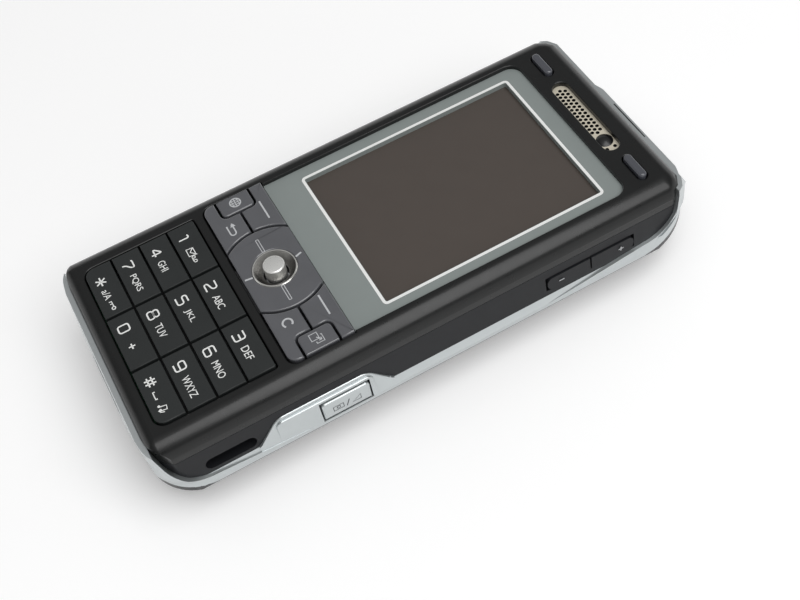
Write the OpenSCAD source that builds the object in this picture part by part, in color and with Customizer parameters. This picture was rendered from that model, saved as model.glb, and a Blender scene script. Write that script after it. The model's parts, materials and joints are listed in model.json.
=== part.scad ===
// Candybar camera phone lying on its back, screen up.
// Millimetres. +Z leaves the front, +Y runs to the earpiece end, +X is the side with the volume rocker.

/* [Body] */
// Length over the silver rim
body_length = 106; // [98:0.5:114]
// Width over the silver rim
body_width = 47; // [44:0.1:50]
// Height of the front face above the back
front_height = 20.5; // [20.4:0.1:21]
// Radius of the bow of both ends
end_bow = 140; // [120:5:180]
// Plan radius of the two corners at the earpiece end
top_corner = 16; // [15.5:0.5:16.5]
// Plan radius of the two corners at the keypad end
bottom_corner = 9; // [8.8:0.1:9.2]
// Radius of the long front edges
edge_round = 3.6; // [3.2:0.1:3.8]
// Backward lean of the earpiece end, degrees
top_lean = 28.9; // [27:0.1:29.5]

/* [Display] */
// Depth of the window below the front face
window_depth = 0.8; // [0.6:0.1:1]
// Window left beside the lit area
window_side = 2.7; // [2.2:0.1:3.2]
// Window left above the lit area
window_above = 3.7; // [3.2:0.1:4.2]
// Window left below the lit area
window_below = 6.8; // [6:0.1:8]

/* [Keys] */
// Length of the number keypad
keypad_length = 20.3; // [19:0.1:22]
// Length of the function keys
function_length = 11.3; // [10.8:0.1:12]
// Gap between neighbouring keys
key_gap = 0.38; // [0.32:0.02:0.46]
// Height of the number keys above the front face
key_rise = 0.2; // [0.1:0.05:0.4]
// Height of the function keys above the front face
function_rise = 0.4; // [0.3:0.05:0.6]
// Radius of the navigation plate
nav_radius = 8.7; // [8.4:0.1:9]
// Height of the joystick above the front face
stick_rise = 1.5; // [1.2:0.1:1.8]
// Length of a game key
game_length = 5.6; // [5:0.1:6]

/* [Side controls] */
// Length of the volume rocker
rocker_length = 16.9; // [15:0.1:18]
// Length of the camera shutter key
shutter_length = 8.6; // [7.5:0.1:9]
// Length of the memory card flap
flap_length = 15.8; // [15:0.1:16.5]

/* [Back] */
// Length of the sliding lens cover
lens_cover_length = 26; // [25:0.1:26.5]
// Radius of the camera window
lens_radius = 5.2; // [4.8:0.1:5.5]

/* [Hidden] */
$fn = 96;
tiny = 0.01;
half_width = body_width / 2;
half_length = body_length / 2;

// Levels, from the back to the front
rear_top = 7.2;
rim_wide_low = 8.3;
rim_wide_high = 9.1;
rim_top = 10.4;
deck_top = rim_top + 1;
part_line = front_height - 4.1;
ceiling = front_height - 2.2;
board_top = front_height - 4.5;
board_thick = 1.2;
board_low = board_top - board_thick;
window_top = front_height - window_depth;
window_thick = 1;
window_low = window_top - window_thick;

// Walls and room between moving pieces
wall = 1.5;
slot_gap = 0.25;
slide_gap = 0.3;
pin_gap = 0.05;
pin_seat = 0.7;

// How far a cut runs past the face it opens, and the radius of corners that look square
past = 1;
small_corner = 0.2;

// Roundings are a little larger than tangent, so that they cross the faces they join
round_over = 1.004;

// Silver rim: inset of its edges from the outline
rim_under = 0.55;
rim_ledge = 0.7;
rim_thick = 3;
rim_bore_corner = 3.5;
rear_corner_inset = 1;
black_corner_inset = 0.5;

// Black body: outline at the rim and lean of its faces
black_half = half_width - 0.7;
black_top = half_length - 1.8;
black_bottom = -half_length + 1;
side_lean = 6.6;
bottom_lean = 6;
top_round = 3;
bottom_round = 2.2;
black_height = front_height - rim_top;

// Its corners: faces between side and end, and their plan radius at the front
corner_turns = [30, 60];
corner_margin = 0.1;
top_face_corner = 3;
bottom_face_corner = 1.5;

// Below their waist the corners draw in to the rim: plan radius that the faces above have at the rim,
// and how far the cone that draws in widens as it rises
top_waist_corner = 11;
bottom_waist_corner = 6.5;
corner_flare = 0.4;

// Silver bands that rise from the rim over the ends: how far they stand off the black body, their
// top, and the curve of their edge on the sides as its centre from the end, its level and its radius
band_side = 0.6;
band_high_end = 0.5;
band_low_end = 0.9;
band_top = front_height - 1.9;
band_high_curve = [half_length - 15.6, 18.5, 7.25];
band_low_curve = [half_length - 9.8, 17.4, 7.1];
band_high_slopes = [6, 18];
band_low_slopes = [4, 14.4];

// Room inside the mid frame and the front cover
mid_half = black_half - 2.2;
mid_top = black_top - 5.2;
mid_bottom = black_bottom + 2.2;
mid_corner = 5;
front_half = black_half - 2.8;
front_top = black_top - 7.6;
front_bottom = black_bottom + 3.4;

// Front layout, from the keypad end up to the window and from the earpiece end down to it
keypad_low_end = black_bottom + 4.1;
keypad_end = keypad_low_end + keypad_length;
function_low_end = keypad_end + 2.15;
function_end = function_low_end + function_length;
function_middle = function_end - function_length / 2;
window_low_end = function_end + 0.25;
window_end = black_top - 13.8;
earpiece_y = black_top - 10.5;
game_y = black_top - 10.2;

// Widths across the front
function_width = body_width - 10.5;
window_width = function_width - 0.5;
keypad_width = function_width - 1.9;

// Display
window_corner = 2.4;
screen_width = window_width - 2 * window_side;
screen_low_end = window_low_end + window_below;
screen_length = window_end - window_above - screen_low_end;
screen_middle = screen_low_end + screen_length / 2;
screen_edge = 0.95;
screen_corner = 0.6;
panel_edge = 1.6;
panel_frame = 0.8;
board_gap = 0.6;

// Keys
function_corner = 1.7;
edge_key_width = 3.85;
edge_key_length = 5.9;
edge_key_corner = 0.8;
keypad_corner = 1.8;
keypad_top_corner = 0.4;
key_columns = 3;
key_rows = 4;
column_pitch = (keypad_width + key_gap) / key_columns;
row_pitch = (keypad_length + key_gap) / key_rows;
key_low = ceiling - 0.4;
plunger_low = board_top + 1.25;
plunger_radius = 1;
dome_radius = 2.1;
dome_rise = 0.5;
sheet_thick = 0.3;
sheet_half = function_width / 2 + 0.8;
sheet_top_end = function_end + 1.5;
sheet_low_end = keypad_low_end;
edge_key_x = function_width / 2 - edge_key_width / 2;
domed_key_x = (nav_radius + function_width / 2 - edge_key_width) / 2;
domed_key_y = 3.1;
nav_foot_half = 5;
nav_foot_edge = 1.2;
nav_foot_thick = 0.6;

// Joystick, all round one pivot
stick_y = function_middle;
ring_radius = 3.85;
ring_low = ceiling + 0.7;
ring_bore = 2.6;
ring_lip = 0.3;
ring_floor = 0.4;
stick_pivot = board_top + 1.6;
base_radius = 3.6;
base_bore = 3.1;
base_top = stick_pivot + 0.6;
base_floor = 0.4;
gimbal_radius = 2.8;
gimbal_bore = 2.2;
gimbal_half = 0.4;
cradle_radius = 1.9;
cradle_half = 0.6;
trunnion = 0.25;
trunnion_fit = 0.03;
trunnion_reach = 0.25;
trunnion_play = 0.1;
shaft_radius = 1;
shaft_below = 0.7;
stick_radius = 1.85;
stick_top = front_height + stick_rise;
stick_neck = stick_pivot + 1.6;

// Earpiece end
earpiece_length = body_width - 28.4;
earpiece_width = 3.2;
mesh_low = ceiling + 0.8;
mesh_thick = 0.4;
mesh_hole = 0.3;
mesh_pitch = 0.92;
mesh_row = 0.8;
mesh_end = earpiece_length / 2 - 1.1;
mesh_start = 0.1 - mesh_end;
mesh_columns = floor((mesh_end - mesh_start) / mesh_pitch) + 1;
mesh_web = 0.15;
video_x = earpiece_length / 2 - 3.3;
video_radius = 1.5;
sound_end = video_x - 3.1;
sound_length = sound_end - mesh_start;
sound_x = sound_end - sound_length / 2;
sound_width = earpiece_width - 1;
earpiece_half = 2.1;
video_half = 2.2;
video_dome = 2.4;
video_rise = 0.5;
game_x = function_width / 2 - 3.75;
game_width = 1.5;
game_rise = 0.7;
game_lip = 0.5;
game_lip_thick = 0.6;

// Right side: rocker, island with the shutter key, loudspeaker slot
rocker_y = black_top - 24.2;
rocker_low = 11.8;
rocker_high = 14.3;
rocker_depth = black_half - 1.6;
rocker_pin_x = black_half - 1.3;
rocker_pin = 0.5;
rocker_rise = 0.25;
rocker_corner = 1;
rocker_groove = 0.3;
rocker_groove_floor = 0.2;
island_low_end = black_bottom + 16.6;
island_high_end = island_low_end + 24.4;
island_top = 14.8;
island_run = 4.1;
island_round = 3;
island_back = mid_half;
island_foot = half_width - 0.05;
island_face = half_width - 1;
pad_face = half_width - 0.5;
pad_corner = 1.2;
pad_low_end = island_low_end + 3.6;
pad_high_end = island_high_end - 3.4;
pad_top = 14.2;
shutter_y = pad_high_end - 5.35;
shutter_low = 9.3;
shutter_high = 13.5;
shutter_back = half_width - 2.1;
shutter_face = half_width;
shutter_corner = 0.7;
speaker_low_end = black_bottom + 7.8;
speaker_high_end = speaker_low_end + 8.9;
speaker_low = deck_top - 0.2;
speaker_high = 13.6;
speaker_depth = 6;
speaker_edge = 0.5;

// Left side: memory card and flap
flap_y = black_bottom + 30;
flap_pin_x = -mid_half - 1.35;
flap_pin_z = 12;
flap_barrel = 0.5;
flap_pin = 0.35;
flap_top = 14.4;
card_width = 12.5;
card_length = 13;
card_thick = 1.2;
card_low = deck_top + 0.8;
card_inset = 0.2;
tray_edge = 1;

// Ends: power key and system connector
power_half = 4;
power_low = 12.2;
power_high = 14.5;
power_rise = 0.75;
power_back = mid_top - 0.8;
connector_half = 6.2;
connector_depth = 6;
connector_face = black_bottom + 0.8;
connector_high = deck_top + 3;
connector_wall = 1;
connector_mouth = [deck_top + 0.9, deck_top + 2.1];
connector_open = 3.2;
mic_x = 11.5;
mic_y = mid_bottom + 2.4;
mic_radius = 1.8;
mic_height = 1.7;
mic_hole = 0.4;
mic_hole_z = deck_top + 0.9;

// Aerial: a bar along the earpiece end with one leg
aerial_x = [-mid_half + 3.6, -6];
aerial_y = [mid_top - 5.5, mid_top - 1.5];
aerial_leg = 1.5;
aerial_leg_length = 8.5;
aerial_thick = 0.6;

// Back: lens cover recess, battery bay
rear_half = half_width - 1.2;
rear_end = half_length - 1;
rear_side_lean = 32;
rear_end_lean = 12;
rear_round = 3;
recess_floor = 2.1;
floor_thick = 1;
cover_thick = recess_floor - slide_gap;
recess_end = rear_end - 5.5;
recess_low_end = recess_end - 38.7;
recess_corner = 4;
recess_low_corner = 1;
lens_cover_end = recess_end - slide_gap;
lens_cover_half = rear_half - 7.1;
recess_half = lens_cover_half + slide_gap;
tongue = 0.9;
tongue_z = [0.8, 1.3];
tongue_inset = [2, 6];
grip_rows = 4;
grip_pitch = 1.4;
grip_start = 4;
grip_radius = 0.4;
grip_length = 14;
lens_x = 5;
lens_y = recess_end - 7.5;
flash_x = -9;
flash_half = [3.6, 2.6];
flash_corner = 0.5;
flash_wall = 0.6;
flash_depth = 3.6;
reflector_inset = 0.4;
reflector_depth = 2;
battery_cover_thick = 1.3;
battery_cover_end = recess_low_end - 2.8;
cover_line = 2.2;
cover_gap = 0.2;
cover_hollow = 0.6;
rail_x = [rear_half - 5, rear_half - 4.3, rear_half - 3.8];
rail_z = [3, 3.5];
rail_ends = [10 - rear_end, battery_cover_end - 4];
rail_room = 0.25;
rail_root = 0.3;
battery_half = rear_half - 6.3;
battery_gap = 0.1;
bay_wall = 1.4;
battery_low = cover_line + slide_gap;
battery_high = 6.9;
bay_end = battery_cover_end - 4.4;
bay_roof = 0.8;
contact_depth = 3.1;
contact_half = 6;
contact_z = [battery_low, battery_low + 3];
battery_end = bay_end - contact_depth;
battery_low_end = 5.5 - rear_end;
sim_half = 12.4;
sim_length = 14.8;
sim_inset = 11.1;
sim_end = battery_end - sim_inset;
sim_low_end = sim_end - sim_length;
sim_high = battery_high + bay_roof - 0.05;

// Camera
module_half = 8;
camera_room_half = rear_half - 4.1;
camera_room_end = rear_end - 4.2;
camera_room_low_end = bay_end + 3;
camera_room_corner = 7;
camera_low = recess_floor + floor_thick;
barrel_radius = 4;
barrel_low = camera_low + 0.5;
barrel_high = barrel_low + 4;
barrel_wall = 1.4;
barrel_mouth = 1;
focus_room = 0.8;

// Screws
screw_x = mid_half - 1.7;
screw_y = [mid_top - 8, mid_bottom + 3.8];
screw_radius = 0.6;
screw_head = 1.2;
screw_head_high = 1;
screw_tip = ceiling - 0.4;
boss_radius = 1.3;

// Vibration motor
motor_x = 7.6 - mid_half;
motor_y = black_bottom + 15;
motor_z = deck_top + 1.6;
motor_radius = 1.5;
motor_length = 8;
motor_shaft = 0.35;
motor_bed = 1.2;
motor_bore = 2;
shaft_in = 1.8;
weight_radius = 1.3;
weight_length = 2.6;
weight_gap = 0.4;
weight_above = 0.2;

// Limits on either side of a middle
function about(middle, half) = [middle - half, middle + half];

// A box from its limits
module box(x, y, z) {
  translate([x[0], y[0], z[0]])
    cube([x[1] - x[0], y[1] - y[0], z[1] - z[0]]);
}

// A rectangle from its limits, with one radius at the high end and one at the low end
module plate(x, y, high_round, low_round) {
  translate([x[0] + high_round, y[0] + low_round])
    square([x[1] - x[0] - 2 * high_round, y[1] - y[0] - low_round]);
  translate([x[0] + low_round, y[0]])
    square([x[1] - x[0] - 2 * low_round, y[1] - y[0] - high_round]);
  translate([x[0], y[0] + low_round])
    square([x[1] - x[0], y[1] - y[0] - high_round - low_round]);
  for (side = [x[0] + low_round, x[1] - low_round])
    translate([side, y[0] + low_round])
      circle(low_round);
  for (side = [x[0] + high_round, x[1] - high_round])
    translate([side, y[1] - high_round])
      circle(high_round);
}

// A plate between two levels
module tile(x, y, z, high_round, low_round) {
  translate([0, 0, z[0]])
    linear_extrude(z[1] - z[0])
      plate(x, y, high_round, low_round);
}

// A slot with round ends
module slot(length, width) {
  square([length - width, width], center = true);
  for (side = [-1, 1])
    translate([side * (length - width) / 2, 0])
      circle(width / 2);
}

// Stands a drawing of X and Z up, and runs it along Y
module along_y(y) {
  translate([0, y[1], 0])
    rotate([90, 0, 0])
      linear_extrude(y[1] - y[0])
        children();
}

// Stands a drawing of Y and Z up, and runs it along X
module along_x(x) {
  translate([x[0], 0, 0])
    rotate([90, 0, 90])
      linear_extrude(x[1] - x[0])
        children();
}

// Copies for the left and right halves
module both_sides() {
  children();
  mirror([1, 0, 0])
    children();
}

// Corner of an outline with a bowed end: its centre, tangent to the side and to the bow
function corner_x(half, r) = half - r;
function corner_y(half, end, bow, r) = end - bow + sqrt((bow - r) ^ 2 - corner_x(half, r) ^ 2);
function corner_turn(half, end, bow, r) = atan2(corner_y(half, end, bow, r) - end + bow, corner_x(half, r));

// What a round corner takes off
module corner_waste(half, end, bow, r) {
  turn = corner_turn(half, end, bow, r);
  reach = 2 * r;
  translate([corner_x(half, r), corner_y(half, end, bow, r)])
    difference() {
      polygon([[0, 0], [reach, 0], [reach, reach], reach * [cos(turn), sin(turn)]]);
      circle(r);
    }
}

// Outline with straight sides, bowed ends and round corners
module outline(half, high, low, bow, high_round, low_round) {
  difference() {
    intersection() {
      translate([-half, low - bow])
        square([2 * half, high - low + 2 * bow]);
      translate([0, high - bow])
        circle(bow);
      translate([0, low + bow])
        circle(bow);
    }
    both_sides() {
      corner_waste(half, high, bow, high_round);
      mirror([0, 1])
        corner_waste(half, -low, bow, low_round);
    }
  }
}

// A block with the outline's shape, between two levels, its long edges and ends cut to a section
// that the child draws: $half is half the width for the sides and half the length for the ends
module edged_block(half, end, z) {
  intersection() {
    along_y([-end - past, end + past]) {
      $half = half;
      children();
    }
    along_x([-half - past, half + past]) {
      $half = end;
      children();
    }
    translate([0, 0, z[0]])
      linear_extrude(z[1] - z[0])
        outline(half, end, -end, end_bow, top_corner, bottom_corner);
  }
}

// Where a face that leans in from its foot starts to turn into the flat face at its top
function round_start(reach, lean, r, foot, top) = reach - (r + (top - r - foot) * sin(lean)) / cos(lean);

// Half a section that leans in from its foot and turns into a flat top
module leaning_half(reach, lean, r, foot, top) {
  difference() {
    polygon([[-tiny, foot], [reach, foot], [reach - (top - foot) * tan(lean), top], [-tiny, top]]);
    translate([round_start(reach, lean, r, foot, top), top - r])
      difference() {
        polygon(2 * r * [[0, 0], [cos(lean), sin(lean)], [cos(lean), 1 + sin(lean)], [0, 1]]);
        circle(r * round_over);
      }
  }
}

// How far an outline with round corners reaches in a direction
function support(half, end, r, turn) = (half - r) * cos(turn) + (end - r) * sin(turn) + r;

// Everything behind a leaning face of the black body that looks in one direction
module facing(turn, foot_reach, top_reach, r, foot) {
  lean = atan((foot_reach - top_reach) / black_height);
  rotate([0, 0, turn])
    along_y([-body_length, body_length]) {
      leaning_half(foot_reach + (rim_top - foot) * tan(lean), lean, r, foot, front_height);
      translate([-body_length, foot])
        square([body_length, front_height - foot]);
    }
}

// Everything behind the faces of one corner, from its plan radius at the rim to that at the front
module corner_faces(half, end, end_lean, end_round, foot_corner, face_corner, foot) {
  intersection_for(turn = corner_turns)
    facing(turn,
      support(half, end, foot_corner - black_corner_inset, turn) + corner_margin,
      support(half - black_height * tan(side_lean), end - black_height * tan(end_lean), face_corner, turn),
      edge_round + (end_round - edge_round) * turn / 90, foot);
}

// What lies outside the cone that a corner draws in to below its waist
module corner_room(half, end, r, foot) {
  z = [foot - past, front_height + past];
  translate([half - r, end - r, z[0]])
    difference() {
      cube([r + past, r + past, z[1] - z[0]]);
      translate([0, 0, -past])
        cylinder(r1 = r + (z[0] - past - rim_top) * corner_flare, r2 = r + (z[1] + past - rim_top) * corner_flare,
          h = z[1] - z[0] + 2 * past);
    }
}

// Black body above its foot, grown at its sides and its two ends
module black_form(side = 0, high = 0, low = 0, foot = rim_top) {
  drop = rim_top - foot;
  half = black_half + side;
  high_end = black_top + high;
  low_end = low - black_bottom;
  difference() {
    intersection() {
      along_y([-body_length, body_length])
        both_sides()
          leaning_half(half + drop * tan(side_lean), side_lean, edge_round, foot, front_height);
      along_x([-body_width, body_width])
        union() {
          leaning_half(high_end + drop * tan(top_lean), top_lean, top_round, foot, front_height);
          mirror([1, 0])
            leaning_half(low_end + drop * tan(bottom_lean), bottom_lean, bottom_round, foot, front_height);
        }
      translate([0, 0, foot])
        linear_extrude(front_height)
          outline(half + corner_margin, high_end + corner_margin, -low_end - corner_margin,
            end_bow, top_waist_corner - black_corner_inset, bottom_waist_corner - black_corner_inset);
      both_sides_meet()
        corner_faces(half, high_end, top_lean, top_round, top_waist_corner, top_face_corner, foot);
      mirror([0, 1, 0])
        both_sides_meet()
          corner_faces(half, low_end, bottom_lean, bottom_round, bottom_waist_corner, bottom_face_corner, foot);
    }
    for (flip = [0, 1])
      mirror([flip, 0, 0]) {
        corner_room(half, high_end, top_corner - black_corner_inset, foot);
        mirror([0, 1, 0])
          corner_room(half, low_end, bottom_corner - black_corner_inset, foot);
      }
  }
}

// What the children and their mirror image share
module both_sides_meet() {
  intersection() {
    children();
    mirror([1, 0, 0])
      children();
  }
}

// Rear form, drawn in below the rim
module rear_form() {
  translate([0, 0, rear_top])
    mirror([0, 0, 1])
      intersection() {
        along_y([-body_length, body_length])
          both_sides()
            leaning_half(rear_half, rear_side_lean, rear_round, 0, rear_top);
        along_x([-body_width, body_width])
          both_sides()
            leaning_half(rear_end, rear_end_lean, rear_round, 0, rear_top);
        linear_extrude(2 * rear_top)
          outline(rear_half, rear_end, -rear_end, end_bow,
            top_corner - rear_corner_inset, bottom_corner - rear_corner_inset);
      }
}

// Rim, solid inside, with a ledge above and a bevel below
module rim_form() {
  edged_block(half_width, half_length, [rear_top, rim_top])
    polygon([
      [rim_under - $half, rear_top], [$half - rim_under, rear_top],
      [$half, rim_wide_low], [$half, rim_wide_high],
      [$half - rim_ledge, rim_top], [rim_ledge - $half, rim_top],
      [-$half, rim_wide_high], [-$half, rim_wide_low]
    ]);
}

module at_screws() {
  for (y = screw_y)
    both_sides()
      translate([screw_x, y, 0])
        children();
}

module front_cover() color("#1b1b1d") {
  difference() {
    union() {
      difference() {
        black_form();
        box([-half_width, half_width], [-half_length, half_length], [0, part_line]);
        box([-front_half, front_half], [front_bottom, front_top], [0, ceiling]);
      }
      at_screws()
        translate([0, 0, board_top])
          cylinder(r = boss_radius, h = ceiling - board_top + tiny);
    }
    at_screws()
      translate([0, 0, board_top - tiny])
        cylinder(r = screw_radius, h = ceiling - board_top);
    tile([-window_width / 2, window_width / 2], [window_low_end, window_end],
      [window_low, front_height + past], window_corner, small_corner);
    tile([-screen_width / 2 - screen_edge, screen_width / 2 + screen_edge],
      about(screen_middle, screen_length / 2 + screen_edge),
      [ceiling - past, front_height], screen_corner, screen_corner);
    tile(about(0, function_width / 2 + slot_gap), [function_low_end - slot_gap, function_end + slot_gap],
      [ceiling - past, front_height + past], small_corner, function_corner);
    tile(about(0, keypad_width / 2 + slot_gap),
      [keypad_low_end - slot_gap, keypad_end + slot_gap],
      [ceiling - past, front_height + past], keypad_top_corner, keypad_corner + slot_gap);
    both_sides()
      translate([game_x, game_y, ceiling - past])
        linear_extrude(front_height)
          slot(game_length + 2 * slot_gap, game_width + 2 * slot_gap);
    translate([0, earpiece_y, mesh_low])
      linear_extrude(front_height)
        slot(earpiece_length, earpiece_width);
    translate([sound_x, earpiece_y, ceiling - past])
      linear_extrude(front_height)
        slot(sound_length, sound_width);
    translate([video_x, earpiece_y, ceiling - past])
      cylinder(r = video_radius, h = front_height);
  }
}

// One end of the island in Y and Z, rising from its foot at the origin: a slope that a curve
// leads into from the rim, and another leads out of at the top
module island_end() {
  rise = island_top - rim_top;
  turn = atan2(rise, island_run);
  lead = island_round * tan(turn / 2);
  bend = island_round * [-sin(turn), cos(turn)];
  slope = [cos(turn), sin(turn)];
  difference() {
    polygon([[0, 0], [-lead, 0], [-lead, island_round], lead * slope]);
    translate([-lead, island_round])
      circle(island_round * round_over);
  }
  difference() {
    polygon([[0, 0], [island_run, rise], [island_run + 2 * lead, rise], [island_run + 2 * lead, 0]]);
    translate([island_run + lead, rise - island_round])
      difference() {
        polygon([[0, 0], 2 * bend, 2 * bend + [0, island_round], [0, 2 * island_round]]);
        circle(island_round * round_over);
      }
  }
}

// Island in Y and Z
module island_shape() {
  middle = (island_low_end + island_high_end) / 2;
  reach = (island_high_end - island_low_end) / 2;
  translate([middle, rim_top]) {
    translate([-reach, 0])
      island_end();
    translate([reach, 0])
      mirror([1, 0])
        island_end();
    translate([island_run + island_round / 2 - reach, 0])
      square([2 * reach - 2 * island_run - island_round, island_top - rim_top]);
  }
}

module mid_frame() color("#202125") {
  difference() {
    union() {
      difference() {
        black_form();
        box([-half_width, half_width], [-half_length, half_length], [part_line, front_height + past]);
        tile(about(0, mid_half), [mid_bottom, mid_top], [deck_top, front_height], mid_corner, mid_corner);
      }
      at_screws()
        translate([0, 0, deck_top - tiny])
          cylinder(r = boss_radius, h = board_low - deck_top + tiny);
      box([-mid_half - tiny, -mid_half + card_width + tray_edge],
        about(flap_y, card_length / 2 + tray_edge), [deck_top - tiny, card_low]);
    }
    at_screws()
      translate([0, 0, rim_top - past])
        cylinder(r = screw_radius, h = front_height);
    along_x([mid_half, half_width + past])
      island_shape();
    rocker_room();
    along_x([mid_half - past, half_width])
      translate([(speaker_low_end + speaker_high_end) / 2, (speaker_low + speaker_high) / 2])
        slot(speaker_high_end - speaker_low_end, speaker_high - speaker_low);
    flap_room();
    power_room();
    connector_room();
    mic_passage();
  }
}

// Openings in the ends: for the power key, the connector and the sound of a voice
module power_room() {
  box(about(0, power_half + slot_gap), [mid_top - past, half_length + past],
    [power_low - slot_gap, power_high + slot_gap]);
}

module connector_room() {
  box(about(0, connector_half), [-half_length - past, mid_bottom + past], [deck_top, connector_high]);
}

module mic_passage() {
  translate([mic_x, mid_bottom + past, mic_hole_z])
    rotate([90, 0, 0])
      cylinder(r = mic_hole, h = half_length);
}

// Slot and pin holes for the rocker
module rocker_room() {
  reach = rocker_length / 2 + slot_gap;
  seat = pin_seat + pin_gap;
  box([mid_half - past, half_width], about(rocker_y, reach),
    [rocker_low - slot_gap, rocker_high + slot_gap]);
  translate([rocker_pin_x, rocker_y, rocker_low - seat])
    cylinder(r = rocker_pin + pin_gap, h = rocker_high - rocker_low + 2 * seat);
}

module volume_rocker() color("#26282c") {
  difference() {
    intersection() {
      translate([rocker_rise, 0, 0])
        black_form();
      along_x([rocker_depth, half_width])
        plate(about(rocker_y, rocker_length / 2), [rocker_low, rocker_high], rocker_corner, rocker_corner);
    }
    box([rocker_pin_x + rocker_pin + rocker_groove_floor, half_width + past],
      about(rocker_y, rocker_groove / 2), [rim_top, part_line]);
  }
  translate([rocker_pin_x, rocker_y, rocker_low - pin_seat])
    cylinder(r = rocker_pin, h = rocker_high - rocker_low + 2 * pin_seat);
}

// Slot and pin holes for the memory card flap
module flap_room() {
  reach = flap_length / 2 + slot_gap;
  seat = flap_length / 2 + pin_seat + pin_gap;
  box([-half_width, -mid_half + past], about(flap_y, reach),
    [flap_pin_z - flap_barrel - slot_gap, flap_top + slot_gap]);
  translate([flap_pin_x, flap_y + seat, flap_pin_z])
    rotate([90, 0, 0])
      cylinder(r = flap_pin + pin_gap, h = 2 * seat);
}

module memory_flap() color("#202125") {
  reach = flap_length / 2;
  box(about(flap_pin_x, flap_barrel), about(flap_y, reach), [flap_pin_z, flap_top]);
  translate([flap_pin_x, flap_y + reach, flap_pin_z])
    rotate([90, 0, 0])
      cylinder(r = flap_barrel, h = flap_length);
  translate([flap_pin_x, flap_y + reach + pin_seat, flap_pin_z])
    rotate([90, 0, 0])
      cylinder(r = flap_pin, h = flap_length + 2 * pin_seat);
}

// Outer face of the island or the pad, leaning from the rim to its top
module leaning_block(top, face, y) {
  intersection() {
    along_y(y)
      polygon([
        [island_back, rim_wide_high], [island_foot, rim_wide_high], [face, top], [island_back, top]
      ]);
    children();
  }
}

// Side view of a band from the middle of the body out to an end: a slope that leaves the rim,
// a curve, and a slope that runs up to the top of the band
module band_side_view(curve, slopes) {
  low = curve[2] * [sin(slopes[0]), -cos(slopes[0])];
  high = curve[2] * [cos(slopes[1]), -sin(slopes[1])];
  start = low[0] - (curve[1] + low[1] - rim_wide_high) / tan(slopes[0]);
  end = high[0] + (band_top - curve[1] - high[1]) * tan(slopes[1]);
  translate([curve[0], 0])
    difference() {
      polygon([
        [start, rim_wide_high], [half_length, rim_wide_high], [half_length, band_top], [end, band_top],
        high + [0, curve[1]], [0, curve[1]], low + [0, curve[1]]
      ]);
      translate([0, curve[1]])
        circle(curve[2] * round_over);
    }
}

// Both bands, outside the black body
module end_bands() {
  intersection() {
    difference() {
      black_form(band_side, band_high_end, band_low_end, rim_wide_high);
      black_form();
    }
    along_x([-body_width, body_width])
      union() {
        band_side_view(band_high_curve, band_high_slopes);
        mirror([1, 0])
          band_side_view(band_low_curve, band_low_slopes);
      }
  }
}

module rim() color("#c9cbcd") {
  difference() {
    union() {
      difference() {
        union() {
          rim_form();
          end_bands();
        }
        linear_extrude(rim_top)
          outline(half_width - rim_thick, half_length - rim_thick, rim_thick - half_length,
            end_bow - rim_thick, top_corner - rim_thick, rim_bore_corner);
      }
      leaning_block(island_top, island_face, [island_low_end, island_high_end])
        along_x([island_back, half_width])
          union() {
            island_shape();
            translate([island_low_end, rim_wide_high])
              square([island_high_end - island_low_end, rim_top - rim_wide_high + tiny]);
          }
      leaning_block(pad_top, pad_face, [pad_low_end, pad_high_end])
        along_x([island_back, half_width])
          plate([pad_low_end, pad_high_end], [rim_wide_high, pad_top], pad_corner, small_corner);
    }
    box([half_width - rim_thick - past, half_width + past], about(shutter_y, shutter_length / 2 + slot_gap),
      [shutter_low - slot_gap, shutter_high + slot_gap]);
    power_room();
    connector_room();
    mic_passage();
  }
}

module shutter_key() color("#a9abad") {
  along_x([shutter_back, shutter_face])
    plate(about(shutter_y, shutter_length / 2), [shutter_low, shutter_high], shutter_corner, small_corner);
}

module power_key() color("#26282c") {
  intersection() {
    translate([0, power_rise, 0])
      black_form();
    box(about(0, power_half), [power_back, half_length], [power_low, power_high]);
  }
}

module system_connector() color("#3a3a3c") {
  difference() {
    box(about(0, connector_half), [connector_face, connector_face + connector_depth],
      [deck_top, connector_high]);
    box(about(0, connector_half - connector_wall), [black_bottom, connector_face + connector_open],
      connector_mouth);
  }
}

module microphone() color("#b8b09a") {
  translate([mic_x, mic_y, deck_top])
    cylinder(r = mic_radius, h = mic_height);
}

// Hooked rail of the battery cover, grown by the room round it
module cover_rail(room, y) {
  box([rail_x[1] - room, rail_x[2] + room], y, [cover_line - rail_root, rail_z[1] + room]);
  box([rail_x[0] - room, rail_x[2] + room], y, [rail_z[0] - room, rail_z[1] + room]);
}

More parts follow.
